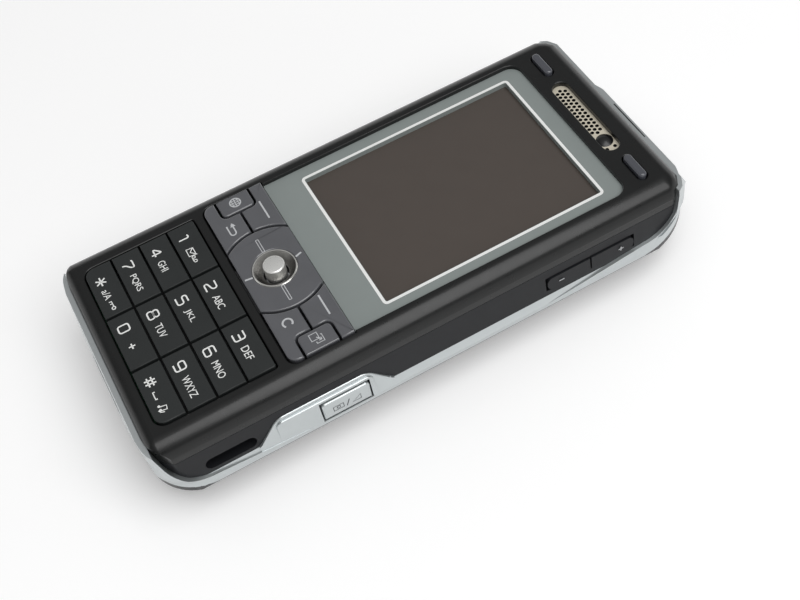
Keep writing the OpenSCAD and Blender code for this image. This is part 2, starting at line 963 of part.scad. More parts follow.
module rear_cover() color("#1d1e20") {
  difference() {
    union() {
      rear_form();
      box(about(0, battery_half + bay_wall), [battery_low_end - bay_wall, bay_end + bay_wall],
        [rear_top - tiny, battery_high + bay_roof]);
    }
    // Battery cover with its rails, the bay, and the card's place in its roof
    box(about(0, half_width), [-half_length, battery_cover_end + slide_gap],
      [-past, cover_line + cover_gap]);
    both_sides()
      cover_rail(rail_room, [-half_length, rail_ends[1] + rail_room]);
    box(about(0, battery_half + battery_gap), [battery_low_end, bay_end], [0, battery_high]);
    box(about(0, sim_half + battery_gap), [sim_low_end - battery_gap, sim_end + battery_gap],
      [0, sim_high]);
    // Lens cover recess and its grooves
    tile(about(0, recess_half), [recess_low_end, recess_end], [-past, recess_floor],
      recess_corner, recess_low_corner);
    box(about(0, recess_half + tongue), [recess_low_end, recess_end - tongue_inset[1] + past],
      [tongue_z[0] - slide_gap, tongue_z[1] + slide_gap]);
    // Room for the camera, and the windows in its floor
    tile(about(0, camera_room_half), [camera_room_low_end, camera_room_end], [camera_low, rear_top + past],
      camera_room_corner, recess_low_corner);
    translate([lens_x, lens_y, 0])
      cylinder(r = lens_radius, h = rear_top);
    tile(about(flash_x, flash_half[0]), about(lens_y, flash_half[1]), [0, rear_top],
      flash_corner, flash_corner);
  }
}

module battery_cover() color("#222326") {
  difference() {
    intersection() {
      rear_form();
      box(about(0, half_width), [-half_length, battery_cover_end], [-past, cover_line]);
    }
    box(about(0, battery_half + cover_hollow), [battery_low_end - cover_hollow, battery_cover_end - wall],
      [battery_cover_thick, rear_top]);
  }
  both_sides()
    cover_rail(0, rail_ends);
}

module lens_cover() color("#2a2b2e") {
  low_end = lens_cover_end - lens_cover_length;
  difference() {
    union() {
      tile(about(0, lens_cover_half), [low_end, lens_cover_end], [0, cover_thick],
        recess_corner - slide_gap, recess_low_corner);
      box(about(0, lens_cover_half + tongue), [low_end + tongue_inset[0], lens_cover_end - tongue_inset[1]],
        tongue_z);
    }
    // Grip grooves for the thumb
    for (row = [0:grip_rows - 1])
      translate([0, low_end + grip_start + grip_pitch * row, 0])
        rotate([0, 90, 0])
          cylinder(r = grip_radius, h = grip_length, center = true);
  }
}

module camera_window() color("#20242c") {
  translate([lens_x, lens_y, recess_floor])
    cylinder(r = lens_radius, h = floor_thick);
}

module flash_window() color("#d8dadb") {
  tile(about(flash_x, flash_half[0]), about(lens_y, flash_half[1]),
    [recess_floor, camera_low], flash_corner, flash_corner);
}

module flash_unit() color("#c4c6c8") {
  difference() {
    box(about(flash_x, flash_half[0] + flash_wall), about(lens_y, flash_half[1] + flash_wall),
      [camera_low, camera_low + flash_depth]);
    box(about(flash_x, flash_half[0] - reflector_inset), about(lens_y, flash_half[1] - reflector_inset),
      [0, camera_low + reflector_depth]);
  }
}

module camera_module() color("#2c2d30") {
  difference() {
    box(about(lens_x, module_half), about(lens_y, module_half), [camera_low, rim_top]);
    translate([lens_x, lens_y, 0])
      cylinder(r = barrel_radius + pin_gap, h = barrel_high + focus_room);
  }
}

module lens_barrel() color("#3c3e42") {
  difference() {
    translate([lens_x, lens_y, barrel_low])
      cylinder(r = barrel_radius, h = barrel_high - barrel_low);
    translate([lens_x, lens_y, 0])
      cylinder(r = barrel_radius - barrel_wall, h = barrel_low + barrel_mouth);
  }
}

module battery() color("#6a6d72") {
  box(about(0, battery_half), [battery_low_end + battery_gap, battery_end], [battery_low, battery_high]);
}

module battery_contacts() color("#b79a4a") {
  box(about(0, contact_half), [battery_end, bay_end], contact_z);
}

module sim_card() color("#e4e2da") {
  box(about(0, sim_half), [sim_low_end, sim_end], [battery_high, sim_high]);
}

module memory_card() color("#35373c") {
  edge = card_inset - mid_half;
  box([edge, edge + card_width], about(flap_y, card_length / 2), [card_low, card_low + card_thick]);
}

module aerial() color("#c2a86a") {
  z = [deck_top, deck_top + aerial_thick];
  box(aerial_x, aerial_y, z);
  box([aerial_x[0], aerial_x[0] + aerial_leg], [aerial_y[0] - aerial_leg_length, aerial_y[0] + tiny], z);
}

module loudspeaker() color("#303236") {
  box([mid_half - speaker_depth, mid_half],
    [speaker_low_end - speaker_edge, speaker_high_end + speaker_edge], [deck_top, board_low - slide_gap]);
}

module vibra_motor() color("#b4b6b8") {
  difference() {
    union() {
      translate([motor_x, motor_y + motor_length / 2, motor_z])
        rotate([90, 0, 0])
          cylinder(r = motor_radius, h = motor_length);
      box(about(motor_x, motor_bed), about(motor_y, motor_length / 2), [deck_top, motor_z]);
    }
    translate([motor_x, motor_y - motor_length / 2 + motor_bore, motor_z])
      rotate([90, 0, 0])
        cylinder(r = motor_shaft + pin_gap, h = 2 * motor_bore);
  }
}

module vibra_weight() color("#8a8c8e") {
  face = motor_y - motor_length / 2;
  translate([motor_x, face + shaft_in, motor_z])
    rotate([90, 0, 0])
      cylinder(r = motor_shaft, h = shaft_in + weight_gap + weight_length);
  intersection() {
    translate([motor_x, face - weight_gap, motor_z])
      rotate([90, 0, 0])
        cylinder(r = weight_radius, h = weight_length);
    box(about(motor_x, 2 * weight_radius), [face - 2 * weight_length, face],
      [motor_z - 2 * weight_radius, motor_z + weight_above]);
  }
}

module main_board() color("#1f5a3c") {
  difference() {
    tile(about(0, mid_half - board_gap), [mid_bottom + board_gap, mid_top - board_gap],
      [board_low, board_top], mid_corner - board_gap, mid_corner - board_gap);
    at_screws()
      cylinder(r = screw_radius, h = front_height);
  }
}

module display_frame() color("#9a9c9e") {
  box(about(0, screen_width / 2 + panel_edge), about(screen_middle, screen_length / 2 + panel_edge),
    [board_top, board_top + panel_frame]);
}

module display_panel() color("#3a3634") {
  box(about(0, screen_width / 2 + panel_edge), about(screen_middle, screen_length / 2 + panel_edge),
    [board_top + panel_frame, ceiling]);
}

module display_window() color("#737a7a") {
  tile(about(0, window_width / 2), [window_low_end, window_end], [window_low, window_top],
    window_corner, small_corner);
}

module earpiece_mesh() color("#c8bda4") {
  difference() {
    translate([0, earpiece_y, mesh_low])
      linear_extrude(mesh_thick)
        slot(earpiece_length, earpiece_width);
    translate([video_x, earpiece_y, 0])
      cylinder(r = video_radius, h = front_height);
    for (row = [-1:1])
      for (column = [0:mesh_columns - 1]) {
        x = mesh_start + mesh_pitch * (column + 0.5 * abs(row));
        clear_of_lens = norm([x - video_x, mesh_row * row]) > video_radius + mesh_hole + mesh_web;
        if (clear_of_lens && x < mesh_end)
          translate([x, earpiece_y + mesh_row * row, 0])
            cylinder(r = mesh_hole, h = front_height);
      }
  }
}

module earpiece_speaker() color("#303236") {
  box(about(sound_x, sound_length / 2), about(earpiece_y, earpiece_half), [board_top, ceiling]);
}

module video_camera() color("#0c0c0e") {
  box(about(video_x, video_half), about(earpiece_y, earpiece_half), [board_top, ceiling]);
  intersection() {
    translate([video_x, earpiece_y, ceiling - tiny])
      cylinder(r = video_radius, h = front_height - ceiling);
    translate([video_x, earpiece_y, mesh_low + mesh_thick + video_rise - video_dome])
      sphere(video_dome);
  }
}

module game_key(side) {
  low = key_low - game_lip_thick;
  translate([side * game_x, game_y, low]) {
    linear_extrude(front_height + game_rise - low)
      slot(game_length, game_width);
    linear_extrude(game_lip_thick)
      slot(game_length + 2 * game_lip, game_width + 2 * game_lip);
  }
}

module game_key_left() color("#303236") game_key(-1);

module game_key_right() color("#303236") game_key(1);

// One number key, counted from the upper left
module number_key(column, row) {
  x = column_pitch * (column - 1);
  y = keypad_end - row_pitch * row - (row_pitch - key_gap) / 2;
  half = [(column_pitch - key_gap) / 2, (row_pitch - key_gap) / 2];
  color("#232527") {
    intersection() {
      box(about(x, half[0]), about(y, half[1]), [key_low, front_height + key_rise]);
      tile(about(0, keypad_width / 2), [keypad_low_end, keypad_end], [0, front_height + past],
        keypad_top_corner, keypad_corner);
    }
    translate([x, y, plunger_low])
      cylinder(r = plunger_radius, h = key_low - plunger_low + tiny);
  }
}

module key_1() number_key(0, 0);
module key_2() number_key(1, 0);
module key_3() number_key(2, 0);
module key_4() number_key(0, 1);
module key_5() number_key(1, 1);
module key_6() number_key(2, 1);
module key_7() number_key(0, 2);
module key_8() number_key(1, 2);
module key_9() number_key(2, 2);
module key_star() number_key(0, 3);
module key_0() number_key(1, 3);
module key_hash() number_key(2, 3);

// Outline of the function keys on one side: outside the navigation plate
module function_side(side) {
  difference() {
    plate(about(0, function_width / 2), [function_low_end, function_end], small_corner, function_corner);
    translate([0, function_middle])
      circle(nav_radius + key_gap);
    translate([side > 0 ? -function_width : 0, function_low_end - past])
      square([function_width, function_length + 2 * past]);
  }
}

// Place of the small key at the edge, with room round it and its round corners inwards
module edge_key_place(side, room) {
  translate([side * edge_key_x, function_middle])
    rotate(side * 90)
      plate(about(0, edge_key_length / 2 + room), about(0, edge_key_width / 2 + room),
        edge_key_corner + room, small_corner);
}

// Upper or lower key on one side
module side_key(side, upper) {
  split = function_middle + (upper ? key_gap / 2 : -key_gap / 2);
  color("#4b4c50") {
    translate([0, 0, key_low])
      linear_extrude(front_height + function_rise - key_low)
        difference() {
          function_side(side);
          edge_key_place(side, key_gap);
          translate([-function_width, upper ? split - function_length : split])
            square([2 * function_width, function_length]);
        }
    translate([side * domed_key_x, function_middle + (upper ? domed_key_y : -domed_key_y), plunger_low])
      cylinder(r = plunger_radius, h = key_low - plunger_low + tiny);
  }
}

module edge_key(side) {
  color("#4b4c50") {
    translate([0, 0, key_low])
      linear_extrude(front_height + function_rise - key_low)
        edge_key_place(side, 0);
    translate([side * edge_key_x, function_middle, plunger_low])
      cylinder(r = plunger_radius, h = key_low - plunger_low + tiny);
  }
}

module soft_key_left() side_key(-1, true);
module soft_key_right() side_key(1, true);
module back_key() side_key(-1, false);
module clear_key() side_key(1, false);
module web_key() edge_key(-1);
module task_key() edge_key(1);

// Sheet of domes on the board, one under each plunger
module dome_sheet() color("#b9bcc0") {
  top = board_top + sheet_thick;
  cap = (dome_radius ^ 2 + dome_rise ^ 2) / (2 * dome_rise);
  difference() {
    union() {
      box(about(0, sheet_half), [sheet_low_end, sheet_top_end], [board_top, top]);
      for (column = [-1:1])
        for (row = [0:key_rows - 1])
          translate([column_pitch * column, keypad_end - row_pitch * row - (row_pitch - key_gap) / 2, 0])
            dome(cap, top);
      for (y = about(function_middle, domed_key_y))
        both_sides()
          translate([domed_key_x, y, 0])
            dome(cap, top);
      both_sides()
        translate([edge_key_x, function_middle, 0])
          dome(cap, top);
    }
    translate([0, stick_y, 0])
      cylinder(r = base_radius + slide_gap, h = front_height);
    both_sides()
      translate([screw_x, screw_y[1], 0])
        cylinder(r = boss_radius + slide_gap, h = front_height);
  }
}

module dome(cap, top) {
  intersection() {
    translate([0, 0, top + dome_rise - cap])
      sphere(cap);
    translate([0, 0, top - tiny])
      cylinder(r = dome_radius + past, h = past);
  }
}

module nav_plate() color("#4b4c50") {
  difference() {
    union() {
      translate([0, 0, ceiling - tiny])
        linear_extrude(front_height + function_rise - ceiling + tiny)
          intersection() {
            translate([0, function_middle])
              circle(nav_radius);
            translate([-function_width, function_low_end])
              square([2 * function_width, function_length]);
          }
      box(about(0, nav_foot_half), [function_low_end - nav_foot_edge, function_end + nav_foot_edge],
        [ceiling - nav_foot_thick, ceiling]);
    }
    translate([0, stick_y, 0])
      cylinder(r = ring_radius, h = 2 * front_height);
  }
}

// Dished ring round the joystick
module joystick_ring() color("#d0d1d3") {
  top = front_height + function_rise;
  translate([0, stick_y, 0])
    rotate_extrude()
      polygon([
        [ring_bore, ring_low], [ring_radius, ring_low], [ring_radius, top],
        [ring_radius - ring_lip, top], [ring_bore, ring_low + ring_floor]
      ]);
}

// Pins across a bore and the hole for them
module trunnion_pins(bore) {
  cylinder(r = trunnion, h = 2 * (bore + trunnion_reach), center = true);
}

module trunnion_hole(bore) {
  cylinder(r = trunnion + trunnion_fit, h = 2 * (bore + trunnion_reach + trunnion_play), center = true);
}

module joystick_base() color("#8f9194") {
  translate([0, stick_y, 0])
    difference() {
      translate([0, 0, board_top])
        cylinder(r = base_radius, h = base_top - board_top);
      translate([0, 0, board_top + base_floor])
        cylinder(r = base_bore, h = base_top);
      translate([0, 0, stick_pivot])
        rotate([0, 90, 0])
          trunnion_hole(base_bore);
    }
}

// Ring that tilts about X on two pins
module joystick_gimbal() color("#a4a6a8") {
  translate([0, stick_y, stick_pivot])
    difference() {
      union() {
        cylinder(r = gimbal_radius, h = 2 * gimbal_half, center = true);
        rotate([0, 90, 0])
          trunnion_pins(base_bore);
      }
      cylinder(r = gimbal_bore, h = 4 * gimbal_half, center = true);
      rotate([90, 0, 0])
        trunnion_hole(gimbal_bore);
    }
}

// Tube that tilts about Y in the gimbal and guides the stick
module joystick_cradle() color("#b4b6b8") {
  translate([0, stick_y, stick_pivot])
    difference() {
      union() {
        cylinder(r = cradle_radius, h = 2 * cradle_half, center = true);
        rotate([90, 0, 0])
          trunnion_pins(gimbal_bore);
      }
      cylinder(r = shaft_radius + pin_gap, h = 4 * cradle_half, center = true);
    }
}

module joystick_stick() color("#d6d7d9") {
  translate([0, stick_y, 0]) {
    translate([0, 0, stick_pivot - shaft_below])
      cylinder(r = shaft_radius, h = stick_neck - stick_pivot + shaft_below + tiny);
    translate([0, 0, stick_neck])
      cylinder(r = stick_radius, h = stick_top - stick_neck);
  }
}

module screws() color("#9c9ea0") {
  at_screws() {
    translate([0, 0, rim_top])
      cylinder(r = screw_radius, h = screw_tip - rim_top);
    translate([0, 0, rim_top - screw_head_high])
      cylinder(r = screw_head, h = screw_head_high);
  }
}

front_cover();
mid_frame();
rim();
rear_cover();
battery_cover();
lens_cover();
display_window();
display_panel();
display_frame();
main_board();
dome_sheet();
key_1();
key_2();
key_3();
key_4();
key_5();
key_6();
key_7();
key_8();
key_9();
key_star();
key_0();
key_hash();
soft_key_left();
soft_key_right();
back_key();
clear_key();
web_key();
task_key();
nav_plate();
joystick_ring();
joystick_base();
joystick_gimbal();
joystick_cradle();
joystick_stick();
game_key_left();
game_key_right();
volume_rocker();
shutter_key();
power_key();
earpiece_mesh();
earpiece_speaker();
video_camera();
loudspeaker();
microphone();
vibra_motor();
vibra_weight();
battery();
battery_contacts();
sim_card();
memory_card();
memory_flap();
aerial();
system_connector();
camera_module();
lens_barrel();
camera_window();
flash_window();
flash_unit();
screws();
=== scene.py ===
import json
from math import cos, pi, radians, sin

import bmesh
import bpy
from mathutils import Matrix, Vector

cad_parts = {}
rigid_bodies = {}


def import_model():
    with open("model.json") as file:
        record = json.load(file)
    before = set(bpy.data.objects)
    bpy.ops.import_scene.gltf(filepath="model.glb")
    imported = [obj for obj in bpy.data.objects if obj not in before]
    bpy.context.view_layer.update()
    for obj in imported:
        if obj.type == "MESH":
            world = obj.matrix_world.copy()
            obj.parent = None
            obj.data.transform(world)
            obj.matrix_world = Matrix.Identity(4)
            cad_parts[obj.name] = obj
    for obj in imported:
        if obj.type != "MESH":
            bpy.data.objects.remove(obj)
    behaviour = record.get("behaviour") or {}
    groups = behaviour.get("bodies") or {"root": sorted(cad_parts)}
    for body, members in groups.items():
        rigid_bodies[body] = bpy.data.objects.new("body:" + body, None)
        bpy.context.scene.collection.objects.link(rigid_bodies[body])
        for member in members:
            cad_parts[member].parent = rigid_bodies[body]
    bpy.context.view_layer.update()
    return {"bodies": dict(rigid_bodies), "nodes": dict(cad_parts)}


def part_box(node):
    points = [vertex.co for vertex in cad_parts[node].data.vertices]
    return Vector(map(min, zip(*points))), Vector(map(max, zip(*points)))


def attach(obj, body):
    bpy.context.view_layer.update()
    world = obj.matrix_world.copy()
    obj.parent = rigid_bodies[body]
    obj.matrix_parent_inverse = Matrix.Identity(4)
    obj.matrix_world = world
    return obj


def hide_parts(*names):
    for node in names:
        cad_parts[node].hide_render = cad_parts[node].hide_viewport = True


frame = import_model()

# Sizes are in metres, written as millimetres times MM
MM = 0.001

# The photograph's frame and the camera that saw it
PICTURE_WIDTH = 800
FOCAL_PIXELS = 1207.2
SENSOR_WIDTH = 36.0
CAMERA_PLACE = Vector((121.56, -41.36, 178.05)) * MM
CAMERA_TURN = Vector((2.28, 1.305, -0.548))

# Levels and places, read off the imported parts
FRONT_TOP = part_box("front_cover")[1].z
WINDOW_LOW, WINDOW_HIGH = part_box("display_window")
PANEL_LOW, PANEL_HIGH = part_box("display_panel")
FUNCTION_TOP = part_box("nav_plate")[1].z
RING_LOW, RING_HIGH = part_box("joystick_ring")
STICK_LOW, STICK_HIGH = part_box("joystick_stick")
SHUTTER_LOW, SHUTTER_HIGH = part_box("shutter_key")
ROCKER_LOW, ROCKER_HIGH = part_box("volume_rocker")
PART_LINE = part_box("mid_frame")[1].z
LEVEL_SLACK = 0.02 * MM

# How far a face has to look up to be level, how little to be a side or upright, and what counts as flat
LEVEL_FACE = 0.9
SIDE_FACE = 0.7
UPRIGHT_FACE = 0.2
FLAT_FACE = 0.9999
FLAT_AREA = 1.5 * MM * MM

# Points closer than this are one point
WELD = 0.001 * MM

# Printing: how far it stands off its surface, and how flat a drawn line is
PRINT_LIFT = 0.01 * MM
LINE_FLATTEN = 0.12


class Field:
    """A shader socket: sums and products of fields add the nodes that work them out."""

    def __init__(self, tree, socket):
        self.tree = tree
        self.socket = socket

    def node(self, kind, settings=None, inputs=None, output=0):
        """Adds a node: its settings first, then the values or links of its sockets."""
        made = self.tree.nodes.new(kind)
        for name, value in (settings or {}).items():
            if name == "stops":
                stops = made.color_ramp.elements
                for stop, (at, level) in zip((stops[0], stops[-1]), (value[0], value[-1])):
                    stop.position, stop.color = at, (level, level, level, 1)
                for at, level in value[1:-1]:
                    stops.new(at).color = (level, level, level, 1)
            else:
                setattr(made, name, value)
        for name, value in (inputs or {}).items():
            socket = made.inputs[name]
            if isinstance(value, Field):
                self.tree.links.new(value.socket, socket)
            else:
                socket.default_value = value
        return Field(self.tree, made.outputs[output])

    def math(self, operation, first, second):
        return self.node("ShaderNodeMath", {"operation": operation}, {0: first, 1: second})

    def __add__(self, other):
        return self.math("ADD", self, other)

    def __radd__(self, other):
        return self.math("ADD", other, self)

    def __sub__(self, other):
        return self.math("SUBTRACT", self, other)

    def __mul__(self, other):
        return self.math("MULTIPLY", self, other)

    def noise(self, scale, detail=2.0):
        """Values about 0.5 that vary over the surface."""
        return self.node("ShaderNodeTexNoise", inputs={"Vector": self, "Scale": scale, "Detail": detail})

    def blend(self, first, second):
        """A mix of two colours by this field."""
        return self.node("ShaderNodeMix", {"data_type": "RGBA"}, {0: self, 6: first, 7: second}, output=2)

    def bump(self, depth):
        """A normal from this field, taken as a height of up to that depth."""
        return self.node("ShaderNodeBump", inputs={"Height": self, "Distance": depth})

    def stretched(self, scale):
        """These coordinates with each axis scaled by its own number."""
        return self.node("ShaderNodeMapping", inputs={"Vector": self, "Scale": scale})


def painted(red, green, blue):
    """A colour as a screen shows it, out of 255, in the shader's own scale."""
    return tuple(((part / 255 + 0.055) / 1.055) ** 2.4 for part in (red, green, blue)) + (1,)


def shaded(colour, times):
    return tuple(part * times for part in colour[:3]) + (1,)


def new_material(name):
    """A material, its shader, and the coordinates on its piece."""
    material = bpy.data.materials.new(name)
    material.use_nodes = True
    tree = material.node_tree
    shader = tree.nodes["Principled BSDF"]
    place = Field(tree, tree.nodes.new("ShaderNodeTexCoord").outputs["Object"])
    return material, shader, place


def feed(shader, place, inputs):
    """Links fields to a shader's sockets and sets plain numbers on them."""
    for name, value in inputs.items():
        if isinstance(value, Field):
            place.tree.links.new(value.socket, shader.inputs[name])
        else:
            shader.inputs[name].default_value = value


def plastic(name, colour, roughness, grain=9000.0, depth=0.004 * MM, mottle=0.12, **constants):
    """Moulded plastic: a fine grain, and a faint unevenness in its colour and gloss."""
    material, shader, place = new_material(name)
    cloud = place.noise(260.0, 4.0)
    rubbed = place.noise(520.0, 3.0)
    feed(shader, place, {
        "Base Color": cloud.blend(shaded(colour, 1 - mottle), shaded(colour, 1 + mottle)),
        "Roughness": roughness + (rubbed - 0.5) * 0.12,
        "Normal": place.noise(grain).bump(depth),
        **constants,
    })
    return material


def metal(name, colour, roughness, brush=(1, 1, 1), grain=7000.0, depth=0.003 * MM, **constants):
    """Metal or metal paint: a fine grain, drawn out one way where it is brushed."""
    material, shader, place = new_material(name)
    streaks = place.stretched(brush).noise(grain, 3.0)
    cloud = place.noise(300.0, 3.0)
    feed(shader, place, {
        "Base Color": cloud.blend(shaded(colour, 0.95), shaded(colour, 1.04)),
        "Metallic": 1.0,
        "Roughness": roughness + (streaks - 0.5) * 0.16,
        "Normal": streaks.bump(depth),
        **constants,
    })
    return material


GLOSS = "Specular IOR Level"
case_black = plastic("case_black", painted(17, 18, 18), 0.29, 11000.0, 0.003 * MM,
                     **{GLOSS: 0.3, "Coat Weight": 0.2, "Coat Roughness": 0.12})
frame_black = plastic("frame_black", painted(22, 23, 26), 0.42, 9000.0, 0.005 * MM, **{GLOSS: 0.26})
rear_black = plastic("rear_black", painted(26, 27, 29), 0.38, 9000.0, 0.005 * MM)
key_black = plastic("key_black", painted(33, 36, 36), 0.5, 12000.0, 0.006 * MM, **{GLOSS: 0.4})
key_grey = plastic("key_grey", painted(80, 81, 85), 0.36, 12000.0, 0.003 * MM,
                   **{"Coat Weight": 1.0, "Coat Roughness": 0.06})
gloss_dark = plastic("gloss_dark", painted(70, 72, 78), 0.16, 6000.0, 0.001 * MM, **{"Coat Weight": 0.5})
window_grey = plastic("window_grey", painted(132, 139, 137), 0.24, 5000.0, 0.0005 * MM, 0.03)
module_black = plastic("module_black", painted(22, 22, 24), 0.45)
print_white = plastic("print_white", painted(232, 233, 231), 0.5, 9000.0, 0.001 * MM, 0.03)
print_grey = plastic("print_grey", painted(186, 188, 190), 0.45, 9000.0, 0.001 * MM, 0.03)
engraved = plastic("engraved", painted(74, 76, 80), 0.5, 9000.0, 0.001 * MM, 0.05)
silver = metal("silver", painted(192, 197, 198), 0.34, Metallic=0.85)
satin_silver = metal("satin_silver", painted(240, 240, 237), 0.3, depth=0.0004 * MM, Metallic=0.85)
chrome_ring = metal("chrome_ring", painted(228, 227, 223), 0.2, depth=0.0002 * MM)
# The ring's metal made darker for its dish: painted shade in the hollow
dish_painted_shade = metal("dish_painted_shade", painted(150, 149, 147), 0.3, depth=0.0002 * MM)
champagne_mesh = metal("champagne_mesh", painted(226, 218, 199), 0.36, Metallic=0.4)
sheet_steel = metal("sheet_steel", painted(176, 178, 180), 0.32, (1, 8, 1))
gold = metal("gold", painted(206, 170, 96), 0.25)
weight_steel = metal("weight_steel", painted(138, 140, 142), 0.4)
board_green = plastic("board_green", painted(30, 84, 56), 0.38, 2600.0, 0.01 * MM)
# The dome sheet is dark so the gaps between the keys read dark: partly the dark keymat under them, partly painted shade
# deep in the gaps
dome_film = plastic("dome_film", painted(34, 35, 37), 0.4, 4000.0)
battery_wrap = plastic("battery_wrap", painted(104, 107, 112), 0.42, 5000.0)
card_plastic = plastic("card_plastic", painted(228, 226, 218), 0.36)
flash_clear = plastic("flash_clear", painted(214, 217, 218), 0.1, 1800.0, 0.02 * MM)
screen_dark = plastic("screen_dark", painted(75, 68, 63), 0.2, 3000.0, 0.0003 * MM, 0.04)
video_glass = plastic("video_glass", painted(12, 12, 13), 0.3, 3000.0, 0.0003 * MM)
lens_glass = plastic("lens_glass", painted(15, 16, 21), 0.07, 3000.0, 0.0003 * MM, **{"Coat Weight": 0.8})


def leave_edit():
    if bpy.context.mode != "OBJECT":
        bpy.ops.object.mode_set(mode="OBJECT")


def put_down():
    """Leaves nothing selected."""
    leave_edit()
    bpy.ops.object.select_all(action="DESELECT")


def take_up(piece):
    """Makes one piece the only one selected."""
    put_down()
    piece.select_set(True)
    bpy.context.view_layer.objects.active = piece


def edit(piece):
    """Opens a piece for shaping with nothing selected."""
    take_up(piece)
    bpy.ops.object.mode_set(mode="EDIT")
    bpy.ops.mesh.select_mode(type="EDGE")
    bpy.ops.mesh.select_all(action="DESELECT")


def copied(node, name):
    """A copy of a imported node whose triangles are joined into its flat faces."""
    piece = bpy.data.objects.new(name, frame["nodes"][node].data.copy())
    bpy.context.collection.objects.link(piece)
    take_up(piece)
    bpy.ops.mesh.customdata_custom_splitnormals_clear()
    edit(piece)
    bpy.ops.mesh.select_all(action="SELECT")
    bpy.ops.mesh.remove_doubles(threshold=WELD)
    bpy.ops.mesh.dissolve_limited(angle_limit=radians(0.1))
    leave_edit()
    return piece


def middle_of(edge):
    return (edge.verts[0].co + edge.verts[1].co) / 2


def bevel_where(piece, wanted, width, segments=3):
    """Rounds the edges that the test picks."""
    edit(piece)
    shape = bmesh.from_edit_mesh(piece.data)
    for edge in shape.edges:
        if len(edge.link_faces) == 2 and wanted(edge):
            edge.select_set(True)
    bmesh.update_edit_mesh(piece.data)
    bpy.ops.mesh.bevel(offset=width, segments=segments, affect="EDGES", clamp_overlap=False)
    leave_edit()


def crisp(edge, degrees=35):
    return edge.calc_face_angle() > radians(degrees)


def at_level(edge, level):
    return all(abs(corner.co.z - level) < LEVEL_SLACK for corner in edge.verts)


def rim_of_top(level):
    """Picks the border of a flat face at one level that looks up."""
    def wanted(edge):
        looking_up = sum(face.normal.z > LEVEL_FACE for face in edge.link_faces)
        return at_level(edge, level) and looking_up == 1 and crisp(edge)
    return wanted


def outer_border(level):
    """Picks the outer border of a level face, and not that of the room inside."""
    def wanted(edge):
        sides = [face for face in edge.link_faces if abs(face.normal.z) < SIDE_FACE]
        return (at_level(edge, level) and len(sides) == 1
                and sides[0].normal.xy.dot(middle_of(edge).xy) > 0)
    return wanted


def finished(piece, body, material, nodes=(), smooth=35):
    """Smooths a piece, gives it its finish and sets it on its body."""
    take_up(piece)
    bpy.ops.object.shade_smooth_by_angle(angle=radians(smooth))
    for face in piece.data.polygons:
        if max(abs(part) for part in face.normal) > FLAT_FACE and face.area > FLAT_AREA:
            face.use_smooth = False
    edit(piece)
    shape = bmesh.from_edit_mesh(piece.data)
    for face in shape.faces:
        face.select_set(not face.smooth)
    bmesh.update_edit_mesh(piece.data)
    bpy.ops.mesh.quads_convert_to_tris(quad_method="BEAUTY", ngon_method="BEAUTY")
    leave_edit()
    bpy.ops.object.modifier_add(type="WEIGHTED_NORMAL")
    piece.modifiers[-1].keep_sharp = True
    bpy.ops.object.modifier_apply(modifier=piece.modifiers[-1].name)
    piece.data.materials.clear()
    piece.data.materials.append(material)
    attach(piece, body)
    if nodes:
        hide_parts(*nodes)


def cut_out(piece, cutter):
    """Takes a cutter's shape out of a piece."""
    take_up(piece)
    bpy.ops.object.modifier_add(type="BOOLEAN")
    piece.modifiers[-1].object = cutter
    bpy.ops.object.modifier_apply(modifier=piece.modifiers[-1].name)
    bpy.data.objects.remove(cutter)


def draw_path(points):
    """A line of edges through points, open for shaping."""
    put_down()
    bpy.ops.mesh.primitive_plane_add(size=MM, location=(0, 0, 0))
    line = bpy.context.object
    bpy.ops.object.mode_set(mode="EDIT")
    bpy.ops.mesh.select_mode(type="VERT")
    bpy.ops.mesh.select_all(action="SELECT")
    bpy.ops.mesh.merge(type="CENTER")
    bpy.ops.transform.translate(value=points[0])
    for start, end in zip(points, points[1:]):
        bpy.ops.mesh.extrude_vertices_move(TRANSFORM_OT_translate={"value": Vector(end) - Vector(start)})
    bpy.ops.mesh.select_all(action="SELECT")
    return line


def turned(name, profile, axis):
    """A round piece: a profile of radii and heights, spun about an upright axis."""
    piece = draw_path([(axis.x + radius, axis.y, height) for radius, height in profile])
    piece.name = name
    bpy.ops.mesh.spin(steps=96, angle=2 * pi, center=(axis.x, axis.y, 0), axis=(0, 0, 1))
    bpy.ops.mesh.select_all(action="SELECT")
    bpy.ops.mesh.remove_doubles(threshold=WELD)
    bpy.ops.mesh.normals_make_consistent(inside=False)
    leave_edit()
    return piece


def arc(middle, radius, start, end, steps=6):
    """Points round part of a circle, from one angle to another, in degrees."""
    turns = [radians(start + (end - start) * step / steps) for step in range(steps + 1)]
    return [(middle[0] + radius * cos(turn), middle[1] + radius * sin(turn)) for turn in turns]


def drawn_line(points, width, corner=0.0):
    """A flat drawn line through points in millimetres, with its corners rounded."""
    line = draw_path([Vector((x, y, 0)) * MM for x, y in points])
    bpy.ops.mesh.remove_doubles(threshold=0.01 * MM)
    if corner:
        bpy.ops.mesh.select_all(action="DESELECT")
        shape = bmesh.from_edit_mesh(line.data)
        for point in shape.verts:
            point.select_set(len(point.link_edges) == 2)
        bmesh.update_edit_mesh(line.data)
        bpy.ops.mesh.bevel(offset=corner * MM, segments=4, affect="VERTICES")
    leave_edit()
    bpy.ops.object.convert(target="CURVE")
    line.data.bevel_depth = width * MM / 2
    line.data.bevel_resolution = 1
    line.data.use_fill_caps = True
    bpy.ops.object.convert(target="MESH")
    line = bpy.context.object
    bpy.ops.object.mode_set(mode="EDIT")
    bpy.ops.mesh.select_all(action="SELECT")
    bpy.ops.transform.resize(value=(1, 1, LINE_FLATTEN), center_override=(0, 0, 0))
    leave_edit()
    return line


